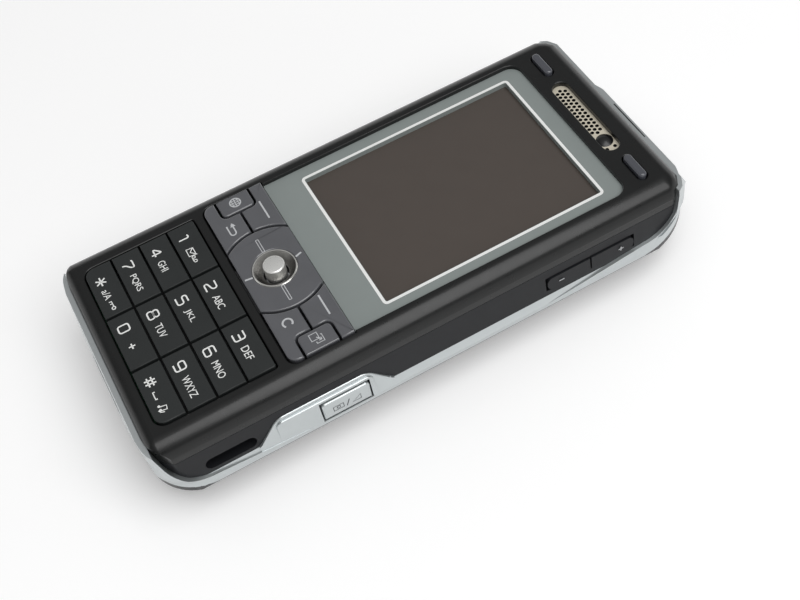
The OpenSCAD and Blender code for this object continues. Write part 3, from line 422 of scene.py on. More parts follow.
def letters(words, middle, width, height):
    """Plain letters in a box of that size in millimetres."""
    put_down()
    bpy.ops.object.text_add(location=(0, 0, 0))
    text = bpy.context.object
    text.data.body = words
    text.data.size = height * MM
    text.data.extrude = PRINT_LIFT
    text.data.resolution_u = 4
    bpy.ops.object.convert(target="MESH")
    text = bpy.context.object
    corners = [corner.co for corner in text.data.vertices]
    low = Vector((min(c.x for c in corners), min(c.y for c in corners), 0))
    high = Vector((max(c.x for c in corners), max(c.y for c in corners), 0))
    stretch = (width * MM / (high.x - low.x), height * MM / (high.y - low.y), 1)
    bpy.ops.object.mode_set(mode="EDIT")
    bpy.ops.mesh.select_all(action="SELECT")
    bpy.ops.transform.translate(value=-(low + high) / 2)
    bpy.ops.transform.resize(value=stretch, center_override=(0, 0, 0))
    bpy.ops.transform.translate(value=(middle[0] * MM, middle[1] * MM, 0))
    leave_edit()
    return text


def joined(name, marks):
    """One piece from several."""
    put_down()
    for mark in marks:
        mark.select_set(True)
    bpy.context.view_layer.objects.active = marks[0]
    if len(marks) > 1:
        bpy.ops.object.join()
    piece = bpy.context.object
    piece.name = name
    return piece


def printed(name, marks, body, place, material=None):
    """Sets marks drawn in millimetres on a face: place turns the drawing's plane into the face."""
    piece = joined(name, marks)
    piece.matrix_world = place
    take_up(piece)
    bpy.ops.object.transform_apply(location=True, rotation=True, scale=True)
    finished(piece, body, material or print_white, smooth=40)


def facing_up(level):
    return Matrix.Translation((0, 0, level + PRINT_LIFT))


def facing_right(reach):
    """Stands a drawing on a face that looks along +X: its width along +Y, its height along +Z."""
    return Matrix(((0, 0, 1, reach + PRINT_LIFT), (1, 0, 0, 0), (0, 1, 0, 0), (0, 0, 0, 1)))


# Front cover and mid frame: the openings and the parting line are eased
STEP_REACH = 1.0 * MM
OPENING_EASE = 0.2 * MM
PARTING_EASE = 0.12 * MM


def front_opening(edge):
    """The border of an opening, apart from the step where the window meets the function keys."""
    step = Vector((WINDOW_HIGH.x, WINDOW_LOW.y))
    middle = middle_of(edge)
    by_step = (Vector((abs(middle.x), middle.y)) - step).length < STEP_REACH
    return rim_of_top(FRONT_TOP)(edge) and not by_step


front = copied("front_cover", "front_shell")
bevel_where(front, front_opening, OPENING_EASE)
bevel_where(front, outer_border(PART_LINE), PARTING_EASE, 2)
finished(front, "case", case_black, ["front_cover"])

mid = copied("mid_frame", "mid_shell")
bevel_where(mid, outer_border(PART_LINE), PARTING_EASE, 2)
finished(mid, "case", frame_black, ["mid_frame"])

# Rim: the edges of the island and of its pad are eased, and its silver stops at its widest line
SILVER_LOW = 8.35 * MM
ISLAND_LOW = Vector((22.0, -33.5, 11.6)) * MM
ISLAND_END = -10.0 * MM
KEY_OPENING = (-24.6 * MM, -15.0 * MM)
ISLAND_EASE = 0.2 * MM
ISLAND_FACE = 0.98
ISLAND_SLOPE = 0.3


def island_edge(edge):
    """The raised border of the island and of its pad, and not that of the opening for the key."""
    middle = middle_of(edge)
    on_side = middle.x > ISLAND_LOW.x and ISLAND_LOW.y < middle.y < ISLAND_END and middle.z > ISLAND_LOW.z
    on_face = any(face.normal.x > ISLAND_FACE for face in edge.link_faces)
    by_key = KEY_OPENING[0] < middle.y < KEY_OPENING[1] and all(face.normal.z < ISLAND_SLOPE for face in edge.link_faces)
    return on_side and on_face and not by_key and edge.is_convex and crisp(edge)


# The corners of the silver: where their round starts, and the grid that is cut into them before they are smoothed
SILVER_CORNERS = [((side * 7.9, 36.2), (side, 1)) for side in (-1, 1)]
SILVER_CORNERS += [((side * 14.3, -43.5), (side, -1)) for side in (-1, 1)]
CORNER_LEVELS = [8.7 + 0.7 * step for step in range(14)]
CORNER_TURNS = [6 * step for step in range(1, 15)]
CORNER_FOOT = 8.3
CORNER_MARGIN = 1.0
CORNER_OUTWARD = 0.3
CORNER_UPWARD = 0.75
CORNER_PASSES = 24


def corner_skin(shape, axis, way):
    """The outer faces of one corner of the silver."""
    outward = Vector(way).normalized()
    skin = []
    for face in shape.faces:
        middle = face.calc_center_median() / MM
        past_axis = [(middle[k] - axis[k]) * way[k] > -CORNER_MARGIN for k in (0, 1)]
        looks_out = face.normal.xy.dot(outward) > CORNER_OUTWARD and face.normal.z < CORNER_UPWARD
        if all(past_axis) and middle.z > CORNER_FOOT and looks_out:
            skin.append(face)
    return skin


def round_corner(piece, axis, way):
    """Cuts a grid into a corner of the silver and smooths the creases inside it."""
    edit(piece)
    around = [(-way[0] * sin(radians(turn)), way[1] * cos(radians(turn)), 0) for turn in CORNER_TURNS]
    cuts = [((0, 0, level * MM), (0, 0, 1)) for level in CORNER_LEVELS]
    cuts += [((axis[0] * MM, axis[1] * MM, 0), normal) for normal in around]
    for place, normal in cuts:
        bpy.ops.mesh.select_all(action="DESELECT")
        shape = bmesh.from_edit_mesh(piece.data)
        for face in corner_skin(shape, axis, way):
            face.select_set(True)
        bmesh.update_edit_mesh(piece.data)
        bpy.ops.mesh.bisect(plane_co=place, plane_no=normal)
    bpy.ops.mesh.select_mode(type="VERT")
    bpy.ops.mesh.select_all(action="DESELECT")
    shape = bmesh.from_edit_mesh(piece.data)
    skin = set(corner_skin(shape, axis, way))
    for point in shape.verts:
        point.select_set(all(face in skin for face in point.link_faces))
    bmesh.update_edit_mesh(piece.data)
    bpy.ops.mesh.vertices_smooth(factor=0.5, repeat=CORNER_PASSES)
    leave_edit()


rim = copied("rim", "silver_rim")
bevel_where(rim, island_edge, ISLAND_EASE)
for axis, way in SILVER_CORNERS:
    round_corner(rim, axis, way)
edit(rim)
bpy.ops.mesh.select_all(action="SELECT")
bpy.ops.mesh.bisect(plane_co=(0, 0, SILVER_LOW), plane_no=(0, 0, 1))
leave_edit()
finished(rim, "case", silver, ["rim"], 50)
rim.data.materials.append(rear_black)
for face in rim.data.polygons:
    face.material_index = 1 if face.center.z < SILVER_LOW else 0

# Rear corners: what lies outside a cone at each corner is cut away
REAR_CORNERS = [((side * 7.1, 38.0), 13.0, 15.4, (side, 1)) for side in (-1, 1)]
REAR_CORNERS += [((side * 13.4, -44.2), 6.1, 8.5, (side, -1)) for side in (-1, 1)]
REAR_LEVEL = 7.2
REAR_BLOCK = 20.0
REAR_BLOCK_MIDDLE = 3.0


def rear_cutter(axis, low_radius, high_radius, way):
    """A block at a corner with a cone taken out of it."""
    put_down()
    middle = Vector((*[axis[k] + way[k] * REAR_BLOCK / 2 for k in (0, 1)], REAR_BLOCK_MIDDLE)) * MM
    bpy.ops.mesh.primitive_cube_add(size=1, location=middle)
    block = bpy.context.object
    block.scale = Vector((REAR_BLOCK, REAR_BLOCK, 2 * REAR_LEVEL)) * MM
    bpy.ops.object.transform_apply(location=True, rotation=True, scale=True)
    spread = high_radius - low_radius
    put_down()
    bpy.ops.mesh.primitive_cone_add(vertices=128, depth=3 * REAR_LEVEL * MM, radius1=(low_radius - spread) * MM,
                                    radius2=(high_radius + spread) * MM, location=Vector((*axis, REAR_LEVEL / 2)) * MM)
    cone = bpy.context.object
    bpy.ops.object.transform_apply(location=True, rotation=True, scale=True)
    cut_out(block, cone)
    return block


rear = copied("rear_cover", "rear_shell")
for corner in REAR_CORNERS:
    cut_out(rear, rear_cutter(*corner))
finished(rear, "case", rear_black, ["rear_cover"])
lid = copied("battery_cover", "battery_lid")
for corner in REAR_CORNERS[2:]:
    cut_out(lid, rear_cutter(*corner))
finished(lid, "battery_cover", rear_black, ["battery_cover"])
lens_lid = copied("lens_cover", "lens_lid")
finished(lens_lid, "lens_cover", rear_black, ["lens_cover"])

# Display: a printed window plate with an opening, and the panel below it
SCREEN_EDGE = 1.6 * MM
SCREEN_DEPTH = 0.95 * MM
SCREEN_GAP = 0.02 * MM
OPENING_HEIGHT = 10 * MM
OPENING_CORNER = 0.35 * MM
SCREEN_LOW = PANEL_LOW + Vector((SCREEN_EDGE, SCREEN_EDGE, 0))
SCREEN_HIGH = PANEL_HIGH - Vector((SCREEN_EDGE, SCREEN_EDGE, 0))
SCREEN_MIDDLE = (SCREEN_LOW + SCREEN_HIGH) / 2
SCREEN_SIZE = SCREEN_HIGH - SCREEN_LOW

put_down()
bpy.ops.mesh.primitive_cube_add(size=1, location=(SCREEN_MIDDLE.x, SCREEN_MIDDLE.y, WINDOW_LOW.z))
opening = bpy.context.object
opening.scale = (SCREEN_SIZE.x, SCREEN_SIZE.y, OPENING_HEIGHT)
bpy.ops.object.transform_apply(location=True, rotation=True, scale=True)
bevel_where(opening, lambda edge: abs(edge.verts[0].co.z - edge.verts[1].co.z) > MM, OPENING_CORNER, 4)
window = copied("display_window", "window_plate")
cut_out(window, opening)
finished(window, "case", window_grey, ["display_window"])

panel = copied("display_panel", "screen_panel")
edit(panel)
shape = bmesh.from_edit_mesh(panel.data)
for face in shape.faces:
    face.select_set(face.normal.z > LEVEL_FACE)
bmesh.update_edit_mesh(panel.data)
bpy.ops.mesh.inset(thickness=SCREEN_EDGE + SCREEN_GAP)
lift = WINDOW_HIGH.z - SCREEN_DEPTH - PANEL_HIGH.z
bpy.ops.mesh.extrude_region_move(TRANSFORM_OT_translate={"value": (0, 0, lift)})
leave_edit()
finished(panel, "case", screen_dark, ["display_panel"])

# White line round the opening
LINE_WIDTH = 0.5 * MM
LINE_GAP = 0.06 * MM
LINE_CORNER = 0.8 * MM
LINE_HEIGHT = 0.02 * MM
put_down()
bpy.ops.mesh.primitive_plane_add(size=1, location=(SCREEN_MIDDLE.x, SCREEN_MIDDLE.y, WINDOW_HIGH.z))
white_line = bpy.context.object
white_line.name = "white_line"
reach = 2 * (LINE_WIDTH + LINE_GAP)
white_line.scale = (SCREEN_SIZE.x + reach, SCREEN_SIZE.y + reach, 1)
bpy.ops.object.transform_apply(location=True, rotation=True, scale=True)
bpy.ops.object.mode_set(mode="EDIT")
bpy.ops.mesh.select_all(action="SELECT")
bpy.ops.mesh.bevel(offset=LINE_CORNER, segments=5, affect="VERTICES")
bpy.ops.mesh.select_all(action="SELECT")
bpy.ops.mesh.inset(thickness=LINE_WIDTH)
bpy.ops.mesh.delete(type="FACE")
bpy.ops.mesh.select_all(action="SELECT")
bpy.ops.mesh.extrude_region_move(TRANSFORM_OT_translate={"value": (0, 0, LINE_HEIGHT)})
bpy.ops.mesh.select_all(action="SELECT")
bpy.ops.mesh.normals_make_consistent(inside=False)
leave_edit()
finished(white_line, "case", print_white)

# Keys: the number keys, the function keys with the navigation plate, and the game keys
NUMBER_KEYS = ["key_1", "key_2", "key_3", "key_4", "key_5", "key_6",
               "key_7", "key_8", "key_9", "key_star", "key_0", "key_hash"]
FUNCTION_KEYS = ["soft_key_left", "soft_key_right", "back_key", "clear_key", "web_key", "task_key"]
NUMBER_EASE = 0.16 * MM
NUMBER_SLIMMER = 0.16 * MM
FUNCTION_EASE = 0.25 * MM
GAME_EASE = 0.4 * MM


def key_cap(node, material, ease, segments=3, slimmer=0.0):
    """A key with the edges of its top eased, a little slimmer where the gap beside it shows deep."""
    cap = copied(node, node + "_cap")
    if slimmer:
        low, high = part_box(node)
        edit(cap)
        bpy.ops.mesh.select_all(action="SELECT")
        bpy.ops.transform.resize(value=(1 - slimmer / (high.x - low.x), 1, 1), center_override=(low + high) / 2)
        leave_edit()
    bevel_where(cap, rim_of_top(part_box(node)[1].z), ease, segments)
    body = node if node in frame["bodies"] else "case"
    finished(cap, body, material, [node])


for node in NUMBER_KEYS:
    key_cap(node, key_black, NUMBER_EASE, slimmer=NUMBER_SLIMMER)
for node in FUNCTION_KEYS + ["nav_plate"]:
    key_cap(node, key_grey, FUNCTION_EASE)
for node in ("game_key_left", "game_key_right"):
    key_cap(node, gloss_dark, GAME_EASE, 4)

# Digits, drawn as rounded lines in a box one wide and one high
DIGITS = {
    "0": [[(0, 0), (0.9, 0), (0.9, 1), (0, 1), (0, 0)]],
    "1": [[(0.12, 0.9), (0.55, 1), (0.55, 0)]],
    "2": [[(0, 1), (0.95, 1), (0.95, 0.55), (0, 0.3), (0, 0), (1, 0)]],
    "3": [[(0, 1), (0.95, 1), (0.95, 0), (0, 0)], [(0.22, 0.53), (0.95, 0.53)]],
    "4": [[(0.76, 0), (0.76, 1), (0, 0.3), (1.05, 0.3)]],
    "5": [[(0.9, 1), (0.04, 1), (0.04, 0.58), (0.95, 0.58), (0.95, 0), (0, 0)]],
    "6": [[(0.9, 1), (0, 1), (0, 0), (0.98, 0), (0.98, 0.56), (0, 0.56)]],
    "7": [[(0, 0.9), (0, 1), (1, 1), (0.9, 0.7), (0.35, 0.3), (0.3, 0)]],
    "8": [[(0, 0), (1, 0), (1, 0.53), (0, 0.53), (0, 0)],
          [(0.06, 0.53), (0.94, 0.53), (0.94, 1), (0.06, 1), (0.06, 0.53)]],
    "9": [[(0.08, 0), (0.98, 0), (0.98, 1), (0, 1), (0, 0.44), (0.98, 0.44)]],
}
DIGIT_SIZE = (1.62, 1.85)
DIGIT_LINE = 0.26
DIGIT_CORNER = 0.38
LETTER_HEIGHT = 1.3


def digit(figure, middle):
    lines = []
    for path in DIGITS[figure]:
        points = [(middle[0] + (x - 0.5) * DIGIT_SIZE[0], middle[1] + (y - 0.5) * DIGIT_SIZE[1]) for x, y in path]
        lines.append(drawn_line(points, DIGIT_LINE, DIGIT_CORNER))
    return lines


def envelope(x, y):
    """A letter's envelope."""
    box = [(x - 0.85, y - 0.6), (x + 0.75, y - 0.6), (x + 0.85, y + 0.6), (x - 0.75, y + 0.6), (x - 0.85, y - 0.6)]
    return [drawn_line(box, 0.2), drawn_line([(x - 0.75, y + 0.55), (x, y - 0.15), (x + 0.95, y + 0.75)], 0.2)]


def tape(x, y):
    """Two reels on a line, for spoken messages."""
    reels = [drawn_line(arc((x + side, y), 0.27, 0, 360, 12), 0.16) for side in (-0.45, 0.45)]
    return reels + [drawn_line([(x - 0.45, y - 0.27), (x + 0.45, y - 0.27)], 0.16)]


def small_key(x, y):
    """A key with two teeth."""
    ring = drawn_line(arc((x + 0.6, y), 0.3, 0, 360, 12), 0.18)
    shaft = drawn_line([(x + 0.3, y + 0.1), (x - 0.85, y + 0.1), (x - 0.85, y - 0.35)], 0.18)
    return [ring, shaft, drawn_line([(x - 0.35, y + 0.1), (x - 0.35, y - 0.3)], 0.18)]


def note(x, y):
    """Two joined notes and a wave beside them."""
    marks = [drawn_line([(x - 0.35, y - 0.3), (x - 0.15, y + 0.75), (x + 0.55, y + 0.6), (x + 0.4, y - 0.4)], 0.18)]
    marks += [drawn_line(arc((x + side - 0.16, y - 0.4), 0.14, 0, 360, 8), 0.2) for side in (-0.33, 0.42)]
    return marks + [drawn_line([(x + 0.2, y - 0.75), (x + 0.62, y - 0.5), (x + 0.85, y + 0.1)], 0.16)]


def star(x, y, reach):
    spokes = [radians(turn) for turn in (0, 60, 120)]
    return [drawn_line([(x - reach * cos(t), y - reach * sin(t)), (x + reach * cos(t), y + reach * sin(t))], DIGIT_LINE)
            for t in spokes]


def cross(x, y, reach, width):
    return [drawn_line([(x - reach, y), (x + reach, y)], width), drawn_line([(x, y - reach), (x, y + reach)], width)]


def hatch(x, y):
    rises = [drawn_line([(x + side - 0.08, y - 0.9), (x + side + 0.08, y + 0.9)], DIGIT_LINE) for side in (-0.3, 0.36)]
    return rises + [drawn_line([(x - 0.85, y + side), (x + 0.9, y + side)], DIGIT_LINE) for side in (-0.35, 0.35)]


# Legends lie left of a key's middle for the figure, right of it for the letters
FIGURE_SHIFT = (-2.6, -0.42)
LETTERS = {"key_2": "ABC", "key_3": "DEF", "key_4": "GHI", "key_5": "JKL",
           "key_6": "MNO", "key_7": "PQRS", "key_8": "TUV", "key_9": "WXYZ"}
LETTER_WIDTHS = {"key_2": 2.9, "key_3": 2.7, "key_4": 2.3, "key_5": 2.7,
                 "key_6": 3.4, "key_7": 3.75, "key_8": 2.8, "key_9": 4.2}
LETTERS_START = -0.4
for node in NUMBER_KEYS:
    low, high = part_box(node)
    x, y = (low.x + high.x) / 2 / MM, (low.y + high.y) / 2 / MM
    figure = (x + FIGURE_SHIFT[0], y + FIGURE_SHIFT[1])
    beside = y + FIGURE_SHIFT[1] - 0.05
    if node == "key_star":
        marks = star(figure[0] + 0.6, figure[1], 0.95)
        marks += [letters("a/A", (x + 1.0, beside), 2.1, 1.25)] + small_key(x + 3.6, beside + 0.1)
    elif node == "key_hash":
        marks = hatch(figure[0] + 0.1, figure[1])
        bracket = [(x - 0.4, beside), (x - 0.4, beside - 0.35), (x + 1.0, beside - 0.35), (x + 1.0, beside)]
        marks += [drawn_line(bracket, 0.24)] + note(x + 2.9, beside)
    else:
        marks = digit(node[-1], figure)
    if node in LETTERS:
        width = LETTER_WIDTHS[node]
        marks.append(letters(LETTERS[node], (x + LETTERS_START + width / 2, beside), width, LETTER_HEIGHT))
    elif node == "key_1":
        marks += envelope(x + 0.7, beside) + tape(x + 2.35, beside)
    elif node == "key_0":
        marks += cross(x + 1.3, beside, 0.55, 0.24)
    printed(node + "_legend", marks, node, facing_up(high.z))

# Function keys: bars, globe, windows, back arrow and clear
FUNCTION_MIDDLE = (RING_LOW.y + RING_HIGH.y) / 2 / MM
for node, x in (("soft_key_left", -12.2), ("soft_key_right", 11.1)):
    bar = drawn_line([(x - 2.15, FUNCTION_MIDDLE + 3.7), (x + 2.15, FUNCTION_MIDDLE + 3.7)], 0.3)
    printed(node + "_legend", [bar], node, facing_up(FUNCTION_TOP), print_grey)

WEB_X, TASK_X = -16.45, 16.2
globe = [drawn_line(arc((WEB_X, FUNCTION_MIDDLE + 0.05), 0.95, 0, 360, 24), 0.22)]
globe += cross(WEB_X, FUNCTION_MIDDLE + 0.05, 0.95, 0.16)
globe += [drawn_line([(WEB_X - 0.45 + 0.9 * side, FUNCTION_MIDDLE - 0.75), (WEB_X - 0.5 + side, FUNCTION_MIDDLE + 0.05),
                      (WEB_X - 0.45 + 0.9 * side, FUNCTION_MIDDLE + 0.85)], 0.14) for side in (0, 1)]
globe += [drawn_line([(WEB_X - 0.75, FUNCTION_MIDDLE + 0.05 + side),
                      (WEB_X + 0.75, FUNCTION_MIDDLE + 0.05 + side)], 0.14) for side in (-0.5, 0.5)]
printed("web_key_legend", globe, "web_key", facing_up(FUNCTION_TOP), print_grey)


def windows(x, y):
    """Two windows, one behind the other, and an arrow between them."""
    near = [(x - 1.05, y - 1.0), (x + 0.25, y - 1.0), (x + 0.25, y + 0.35), (x - 1.05, y + 0.35), (x - 1.05, y - 1.0)]
    far = [(x - 0.35, y + 0.75), (x - 0.35, y + 0.95), (x + 1.0, y + 0.95), (x + 1.0, y - 0.35), (x + 0.65, y - 0.35)]
    way = [(x - 0.2, y - 0.05), (x + 0.55, y + 0.55)]
    head = [(x + 0.15, y + 0.6), (x + 0.6, y + 0.6), (x + 0.6, y + 0.15)]
    return [drawn_line(near, 0.18), drawn_line(far, 0.18), drawn_line(way, 0.16), drawn_line(head, 0.16)]


printed("task_key_legend", windows(TASK_X, FUNCTION_MIDDLE - 0.1), "task_key", facing_up(FUNCTION_TOP), print_grey)

BACK_X, BACK_Y = -11.1, FUNCTION_MIDDLE - 2.9
turn_back = [(BACK_X - 1.1, BACK_Y + 0.5), (BACK_X + 0.6, BACK_Y + 0.5)]
turn_back += arc((BACK_X + 0.6, BACK_Y), 0.5, 90, -90)[1:] + [(BACK_X - 1.25, BACK_Y - 0.5)]
arrow_head = [(BACK_X - 0.75, BACK_Y + 0.88), (BACK_X - 1.45, BACK_Y + 0.5), (BACK_X - 0.75, BACK_Y + 0.12),
              (BACK_X - 0.75, BACK_Y + 0.88)]
arrow_fill = [(BACK_X - 1.25, BACK_Y + 0.5), (BACK_X - 0.75, BACK_Y + 0.5)]
printed("back_key_legend", [drawn_line(turn_back, 0.25), drawn_line(arrow_head, 0.22), drawn_line(arrow_fill, 0.5)],
        "back_key", facing_up(FUNCTION_TOP), print_grey)
printed("clear_key_legend", [drawn_line(arc((11.1, FUNCTION_MIDDLE - 2.85), 0.82, 42, 318, 16), 0.32)],
        "clear_key", facing_up(FUNCTION_TOP), print_grey)


# Marks on the navigation plate
def bar_outline(start, end, middle, half):
    """A long thin box, drawn round its edge."""
    return drawn_line([(start, middle - half), (end, middle - half), (end, middle + half), (start, middle + half),
                       (start, middle - half)], 0.13, 0.1)


nav_marks = [bar_outline(-6.9, -3.95, FUNCTION_MIDDLE - 0.18, 0.22),
             bar_outline(3.95, 7.2, FUNCTION_MIDDLE - 0.42, 0.22)]
nav_marks += [drawn_line([(-0.45, FUNCTION_MIDDLE + 5.1), (-0.1, FUNCTION_MIDDLE + 3.95)], 0.34),
              drawn_line([(-0.1, FUNCTION_MIDDLE - 3.95), (-0.3, FUNCTION_MIDDLE - 5.3)], 0.34)]
printed("nav_marks", nav_marks, "case", facing_up(FUNCTION_TOP), print_grey)

# Earpiece mesh: its holes a little wider, and their walls dark as painted shade inside the holes
HOLE_SPREAD = 1.15
HOLE_REACH = 0.5 * MM


def wall_groups(shape):
    """The upright faces of a plate, gathered hole by hole."""
    left = {face for face in shape.faces if abs(face.normal.z) < UPRIGHT_FACE}
    groups = []
    while left:
        group, fresh = set(), {left.pop()}
        while fresh:
            group |= fresh
            fresh = {other for face in fresh for edge in face.edges for other in edge.link_faces if other in left}
            left -= fresh
        groups.append({point for face in group for point in face.verts})
    return groups


mesh_plate = copied("earpiece_mesh", "mesh_plate")
edit(mesh_plate)
bpy.ops.mesh.select_mode(type="VERT")
holes = []
shape = bmesh.from_edit_mesh(mesh_plate.data)
for group in wall_groups(shape):
    middle = sum((point.co for point in group), Vector()) / len(group)
    if all((point.co.xy - middle.xy).length < HOLE_REACH for point in group):
        holes.append((middle, [point.index for point in group]))
for middle, points in holes:
    bpy.ops.mesh.select_all(action="DESELECT")
    shape = bmesh.from_edit_mesh(mesh_plate.data)
    shape.verts.ensure_lookup_table()
    for index in points:
        shape.verts[index].select_set(True)
    bmesh.update_edit_mesh(mesh_plate.data)
    bpy.ops.transform.resize(value=(HOLE_SPREAD, HOLE_SPREAD, 1), center_override=middle)
leave_edit()
finished(mesh_plate, "case", champagne_mesh, ["earpiece_mesh"])
# The hole walls take the dark module finish: painted shade inside the holes
mesh_plate.data.materials.append(module_black)
for face in mesh_plate.data.polygons:
    face.material_index = 1 if abs(face.normal.z) < UPRIGHT_FACE else 0

# Joystick: a dished ring, its dish darker as painted shade, and a satin peg, both turned
AXIS = Vector(((RING_LOW.x + RING_HIGH.x) / 2, (RING_LOW.y + RING_HIGH.y) / 2))
RING_RADIUS = (RING_HIGH.x - RING_LOW.x) / 2
RING_EASE = 0.1 * MM
DISH_BORE = 2.2 * MM
DISH_LIP = RING_RADIUS - 0.28 * MM
DISH_FLOOR = RING_LOW.z + 0.35 * MM
DISH_CURVE = 1.4
dish = [(DISH_LIP - (DISH_LIP - DISH_BORE) * sin(turn),
         DISH_FLOOR + (RING_HIGH.z - DISH_FLOOR) * (1 - sin(turn)) ** DISH_CURVE)
        for turn in [radians(9 * step) for step in range(11)]]
ring_profile = [(RING_RADIUS, RING_LOW.z), (RING_RADIUS, RING_HIGH.z - RING_EASE),
                (RING_RADIUS - RING_EASE, RING_HIGH.z)]
ring_profile += dish + [(DISH_BORE, RING_LOW.z), (RING_RADIUS, RING_LOW.z)]
ring = turned("dished_ring", ring_profile, AXIS)
finished(ring, "case", chrome_ring, ["joystick_ring"])
# Faces inside the lip take the darker metal: painted shade in the dish
ring.data.materials.append(dish_painted_shade)
for face in ring.data.polygons:
    face.material_index = 1 if (face.center.xy - AXIS).length < DISH_LIP - RING_EASE / 2 else 0

PEG_RADIUS = (STICK_HIGH.x - STICK_LOW.x) / 2
SHAFT_RADIUS = 1.0 * MM
NECK = STICK_LOW.z + 2.3 * MM
PEG_EASE = 0.3 * MM
PEG_SHOULDER = STICK_HIGH.z - 0.05 * MM - PEG_EASE
peg_profile = [(0, STICK_LOW.z), (SHAFT_RADIUS, STICK_LOW.z), (SHAFT_RADIUS, NECK), (PEG_RADIUS, NECK)]
peg_profile += [(PEG_RADIUS - PEG_EASE + PEG_EASE * cos(turn), PEG_SHOULDER + PEG_EASE * sin(turn))
                for turn in [radians(15 * step) for step in range(7)]]
peg_profile += [(0.8 * MM, STICK_HIGH.z - 0.015 * MM), (0, STICK_HIGH.z)]
peg = turned("joystick_peg", peg_profile, AXIS)
finished(peg, "joystick_stick", satin_silver, ["joystick_stick"])

# Side keys, power key and card flap
ROCKER_MIDDLE = (ROCKER_LOW.z + ROCKER_HIGH.z) / 2 / MM
MINUS_START = ROCKER_LOW.y / MM + 2.1
SHUTTER_EASE = 0.3 * MM
rocker = copied("volume_rocker", "rocker_cap")
finished(rocker, "volume_rocker", frame_black, ["volume_rocker"])
shutter = copied("shutter_key", "shutter_cap")
bevel_where(shutter, lambda edge: all(c.co.x > SHUTTER_HIGH.x - LEVEL_SLACK for c in edge.verts), SHUTTER_EASE)
finished(shutter, "shutter_key", silver, ["shutter_key"])
rocker_marks = cross(ROCKER_HIGH.y / MM - 2.6, ROCKER_MIDDLE, 0.5, 0.2)
rocker_marks.append(drawn_line([(MINUS_START, ROCKER_MIDDLE), (MINUS_START + 1.0, ROCKER_MIDDLE)], 0.2))
printed("rocker_legend", rocker_marks, "volume_rocker", facing_right(ROCKER_HIGH.x), print_grey)
power = copied("power_key", "power_cap")
finished(power, "power_key", frame_black, ["power_key"])
flap = copied("memory_flap", "flap_lid")
finished(flap, "memory_flap", frame_black, ["memory_flap"])

# Marks on the shutter key: a camera, a stroke and a picture triangle
SHUTTER_Y = (SHUTTER_LOW.y + SHUTTER_HIGH.y) / 2 / MM
SHUTTER_Z = (SHUTTER_LOW.z + SHUTTER_HIGH.z) / 2 / MM - 0.2
camera_mark = [(SHUTTER_Y - 2.5, SHUTTER_Z - 0.6), (SHUTTER_Y - 0.7, SHUTTER_Z - 0.6),
               (SHUTTER_Y - 0.7, SHUTTER_Z + 0.55), (SHUTTER_Y - 2.5, SHUTTER_Z + 0.55),
               (SHUTTER_Y - 2.5, SHUTTER_Z - 0.6)]
picture_mark = [(SHUTTER_Y + 0.9, SHUTTER_Z - 0.65), (SHUTTER_Y + 2.4, SHUTTER_Z - 0.65),
                (SHUTTER_Y + 2.4, SHUTTER_Z + 0.6), (SHUTTER_Y + 0.9, SHUTTER_Z - 0.65)]
shutter_marks = [drawn_line(camera_mark, 0.2), drawn_line(arc((SHUTTER_Y - 1.6, SHUTTER_Z), 0.3, 0, 360, 12), 0.16),
                 drawn_line([(SHUTTER_Y - 0.2, SHUTTER_Z - 0.8), (SHUTTER_Y + 0.4, SHUTTER_Z + 0.8)], 0.2),
                 drawn_line(picture_mark, 0.2)]
printed("shutter_legend", shutter_marks, "shutter_key", facing_right(SHUTTER_HIGH.x), engraved)

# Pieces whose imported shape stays, with their finish
KEPT_FINISHES = {
    "display_frame": sheet_steel, "main_board": board_green, "dome_sheet": dome_film, "joystick_base": sheet_steel,
    "joystick_gimbal": sheet_steel, "joystick_cradle": sheet_steel,
    "earpiece_speaker": module_black, "video_camera": video_glass,
    "loudspeaker": module_black, "microphone": sheet_steel, "vibra_motor": sheet_steel,
    "vibra_weight": weight_steel, "battery": battery_wrap, "battery_contacts": gold,
    "sim_card": card_plastic, "memory_card": module_black, "aerial": gold,
    "system_connector": module_black, "camera_module": module_black, "lens_barrel": module_black,
    "camera_window": lens_glass, "flash_window": flash_clear, "flash_unit": satin_silver,
    "screws": sheet_steel,
}
for node, material in KEPT_FINISHES.items():
    mesh = frame["nodes"][node].data
    mesh.materials.clear()
    mesh.materials.append(material)

# Camera
put_down()
camera_data = bpy.data.cameras.new("camera")
camera_data.sensor_width = SENSOR_WIDTH
camera_data.lens = SENSOR_WIDTH * FOCAL_PIXELS / PICTURE_WIDTH
camera_data.clip_start = 10 * MM
camera = bpy.data.objects.new("camera", camera_data)
bpy.context.collection.objects.link(camera)
to_picture = Matrix.Rotation(CAMERA_TURN.length, 3, CAMERA_TURN.normalized())
camera.matrix_world = (
    Matrix.Translation(CAMERA_PLACE)
    @ (Matrix.Diagonal((1, -1, -1)) @ to_picture).transposed().to_4x4()
)
bpy.context.scene.camera = camera

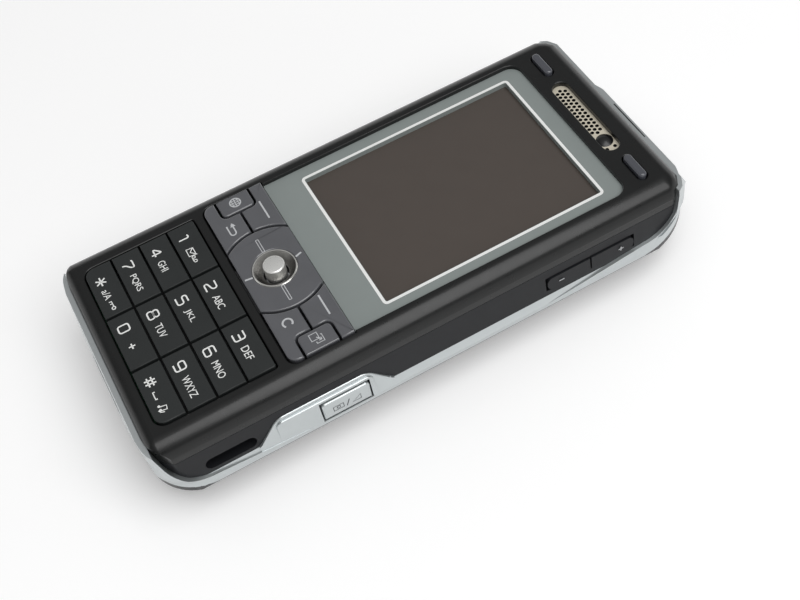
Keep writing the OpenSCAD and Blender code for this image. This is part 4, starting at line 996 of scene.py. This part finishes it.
# Floor: pale, a little lighter where it is seen, with the object's shadow on it
FLOOR_SIZE = 40
bpy.ops.mesh.primitive_plane_add(size=FLOOR_SIZE, location=(0, 0, 0))
floor = bpy.context.object
floor.name = "floor"
floor_paint, floor_shader, floor_place = new_material("floor_paint")
floor_rays = floor_paint.node_tree.nodes.new("ShaderNodeLightPath")
seen, mirrored, through = [Field(floor_paint.node_tree, floor_rays.outputs[way])
                           for way in ("Is Camera Ray", "Is Glossy Ray", "Is Transmission Ray")]
FLOOR_LIFT = 0.14
feed(floor_shader, floor_place, {
    "Base Color": floor_place.noise(3.0).blend((0.92, 0.92, 0.92, 1), (0.94, 0.94, 0.94, 1)),
    "Roughness": 0.9, GLOSS: 0.0, "Emission Color": seen + mirrored + through, "Emission Strength": FLOOR_LIFT,
})
floor.data.materials.append(floor_paint)

# One large softbox overhead, and a room that is white at the horizon and dim above it
SOFTBOX_WAY = Vector((0.43, 0.19, 0.88)).normalized()
SOFTBOX_FAR = 0.7
SOFTBOX_SIZE = (0.5, 0.7)
SOFTBOX_POWER = 3.3
softbox_data = bpy.data.lights.new("softbox", "AREA")
softbox_data.shape = "RECTANGLE"
softbox_data.size, softbox_data.size_y = SOFTBOX_SIZE
softbox_data.energy = SOFTBOX_POWER
softbox = bpy.data.objects.new("softbox", softbox_data)
softbox.location = SOFTBOX_WAY * SOFTBOX_FAR
softbox.rotation_euler = SOFTBOX_WAY.to_track_quat("Z", "Y").to_euler()
bpy.context.collection.objects.link(softbox)

ROOM_LIGHT = [(0.0, 1.0), (0.24, 1.0), (0.42, 0.16), (0.8, 0.42), (1.0, 0.6)]
world = bpy.data.worlds.new("studio")
bpy.context.scene.world = world
world.use_nodes = True
room = world.node_tree
background = room.nodes["Background"]
way_out = Field(room, room.nodes.new("ShaderNodeTexCoord").outputs["Generated"])
height = way_out.node("ShaderNodeSeparateXYZ", inputs={"Vector": way_out}, output=2)
room_light = height.node("ShaderNodeValToRGB", {"stops": ROOM_LIGHT}, {"Fac": height})
room.links.new(room_light.socket, background.inputs["Color"])

bpy.context.scene.view_settings.view_transform = "Standard"
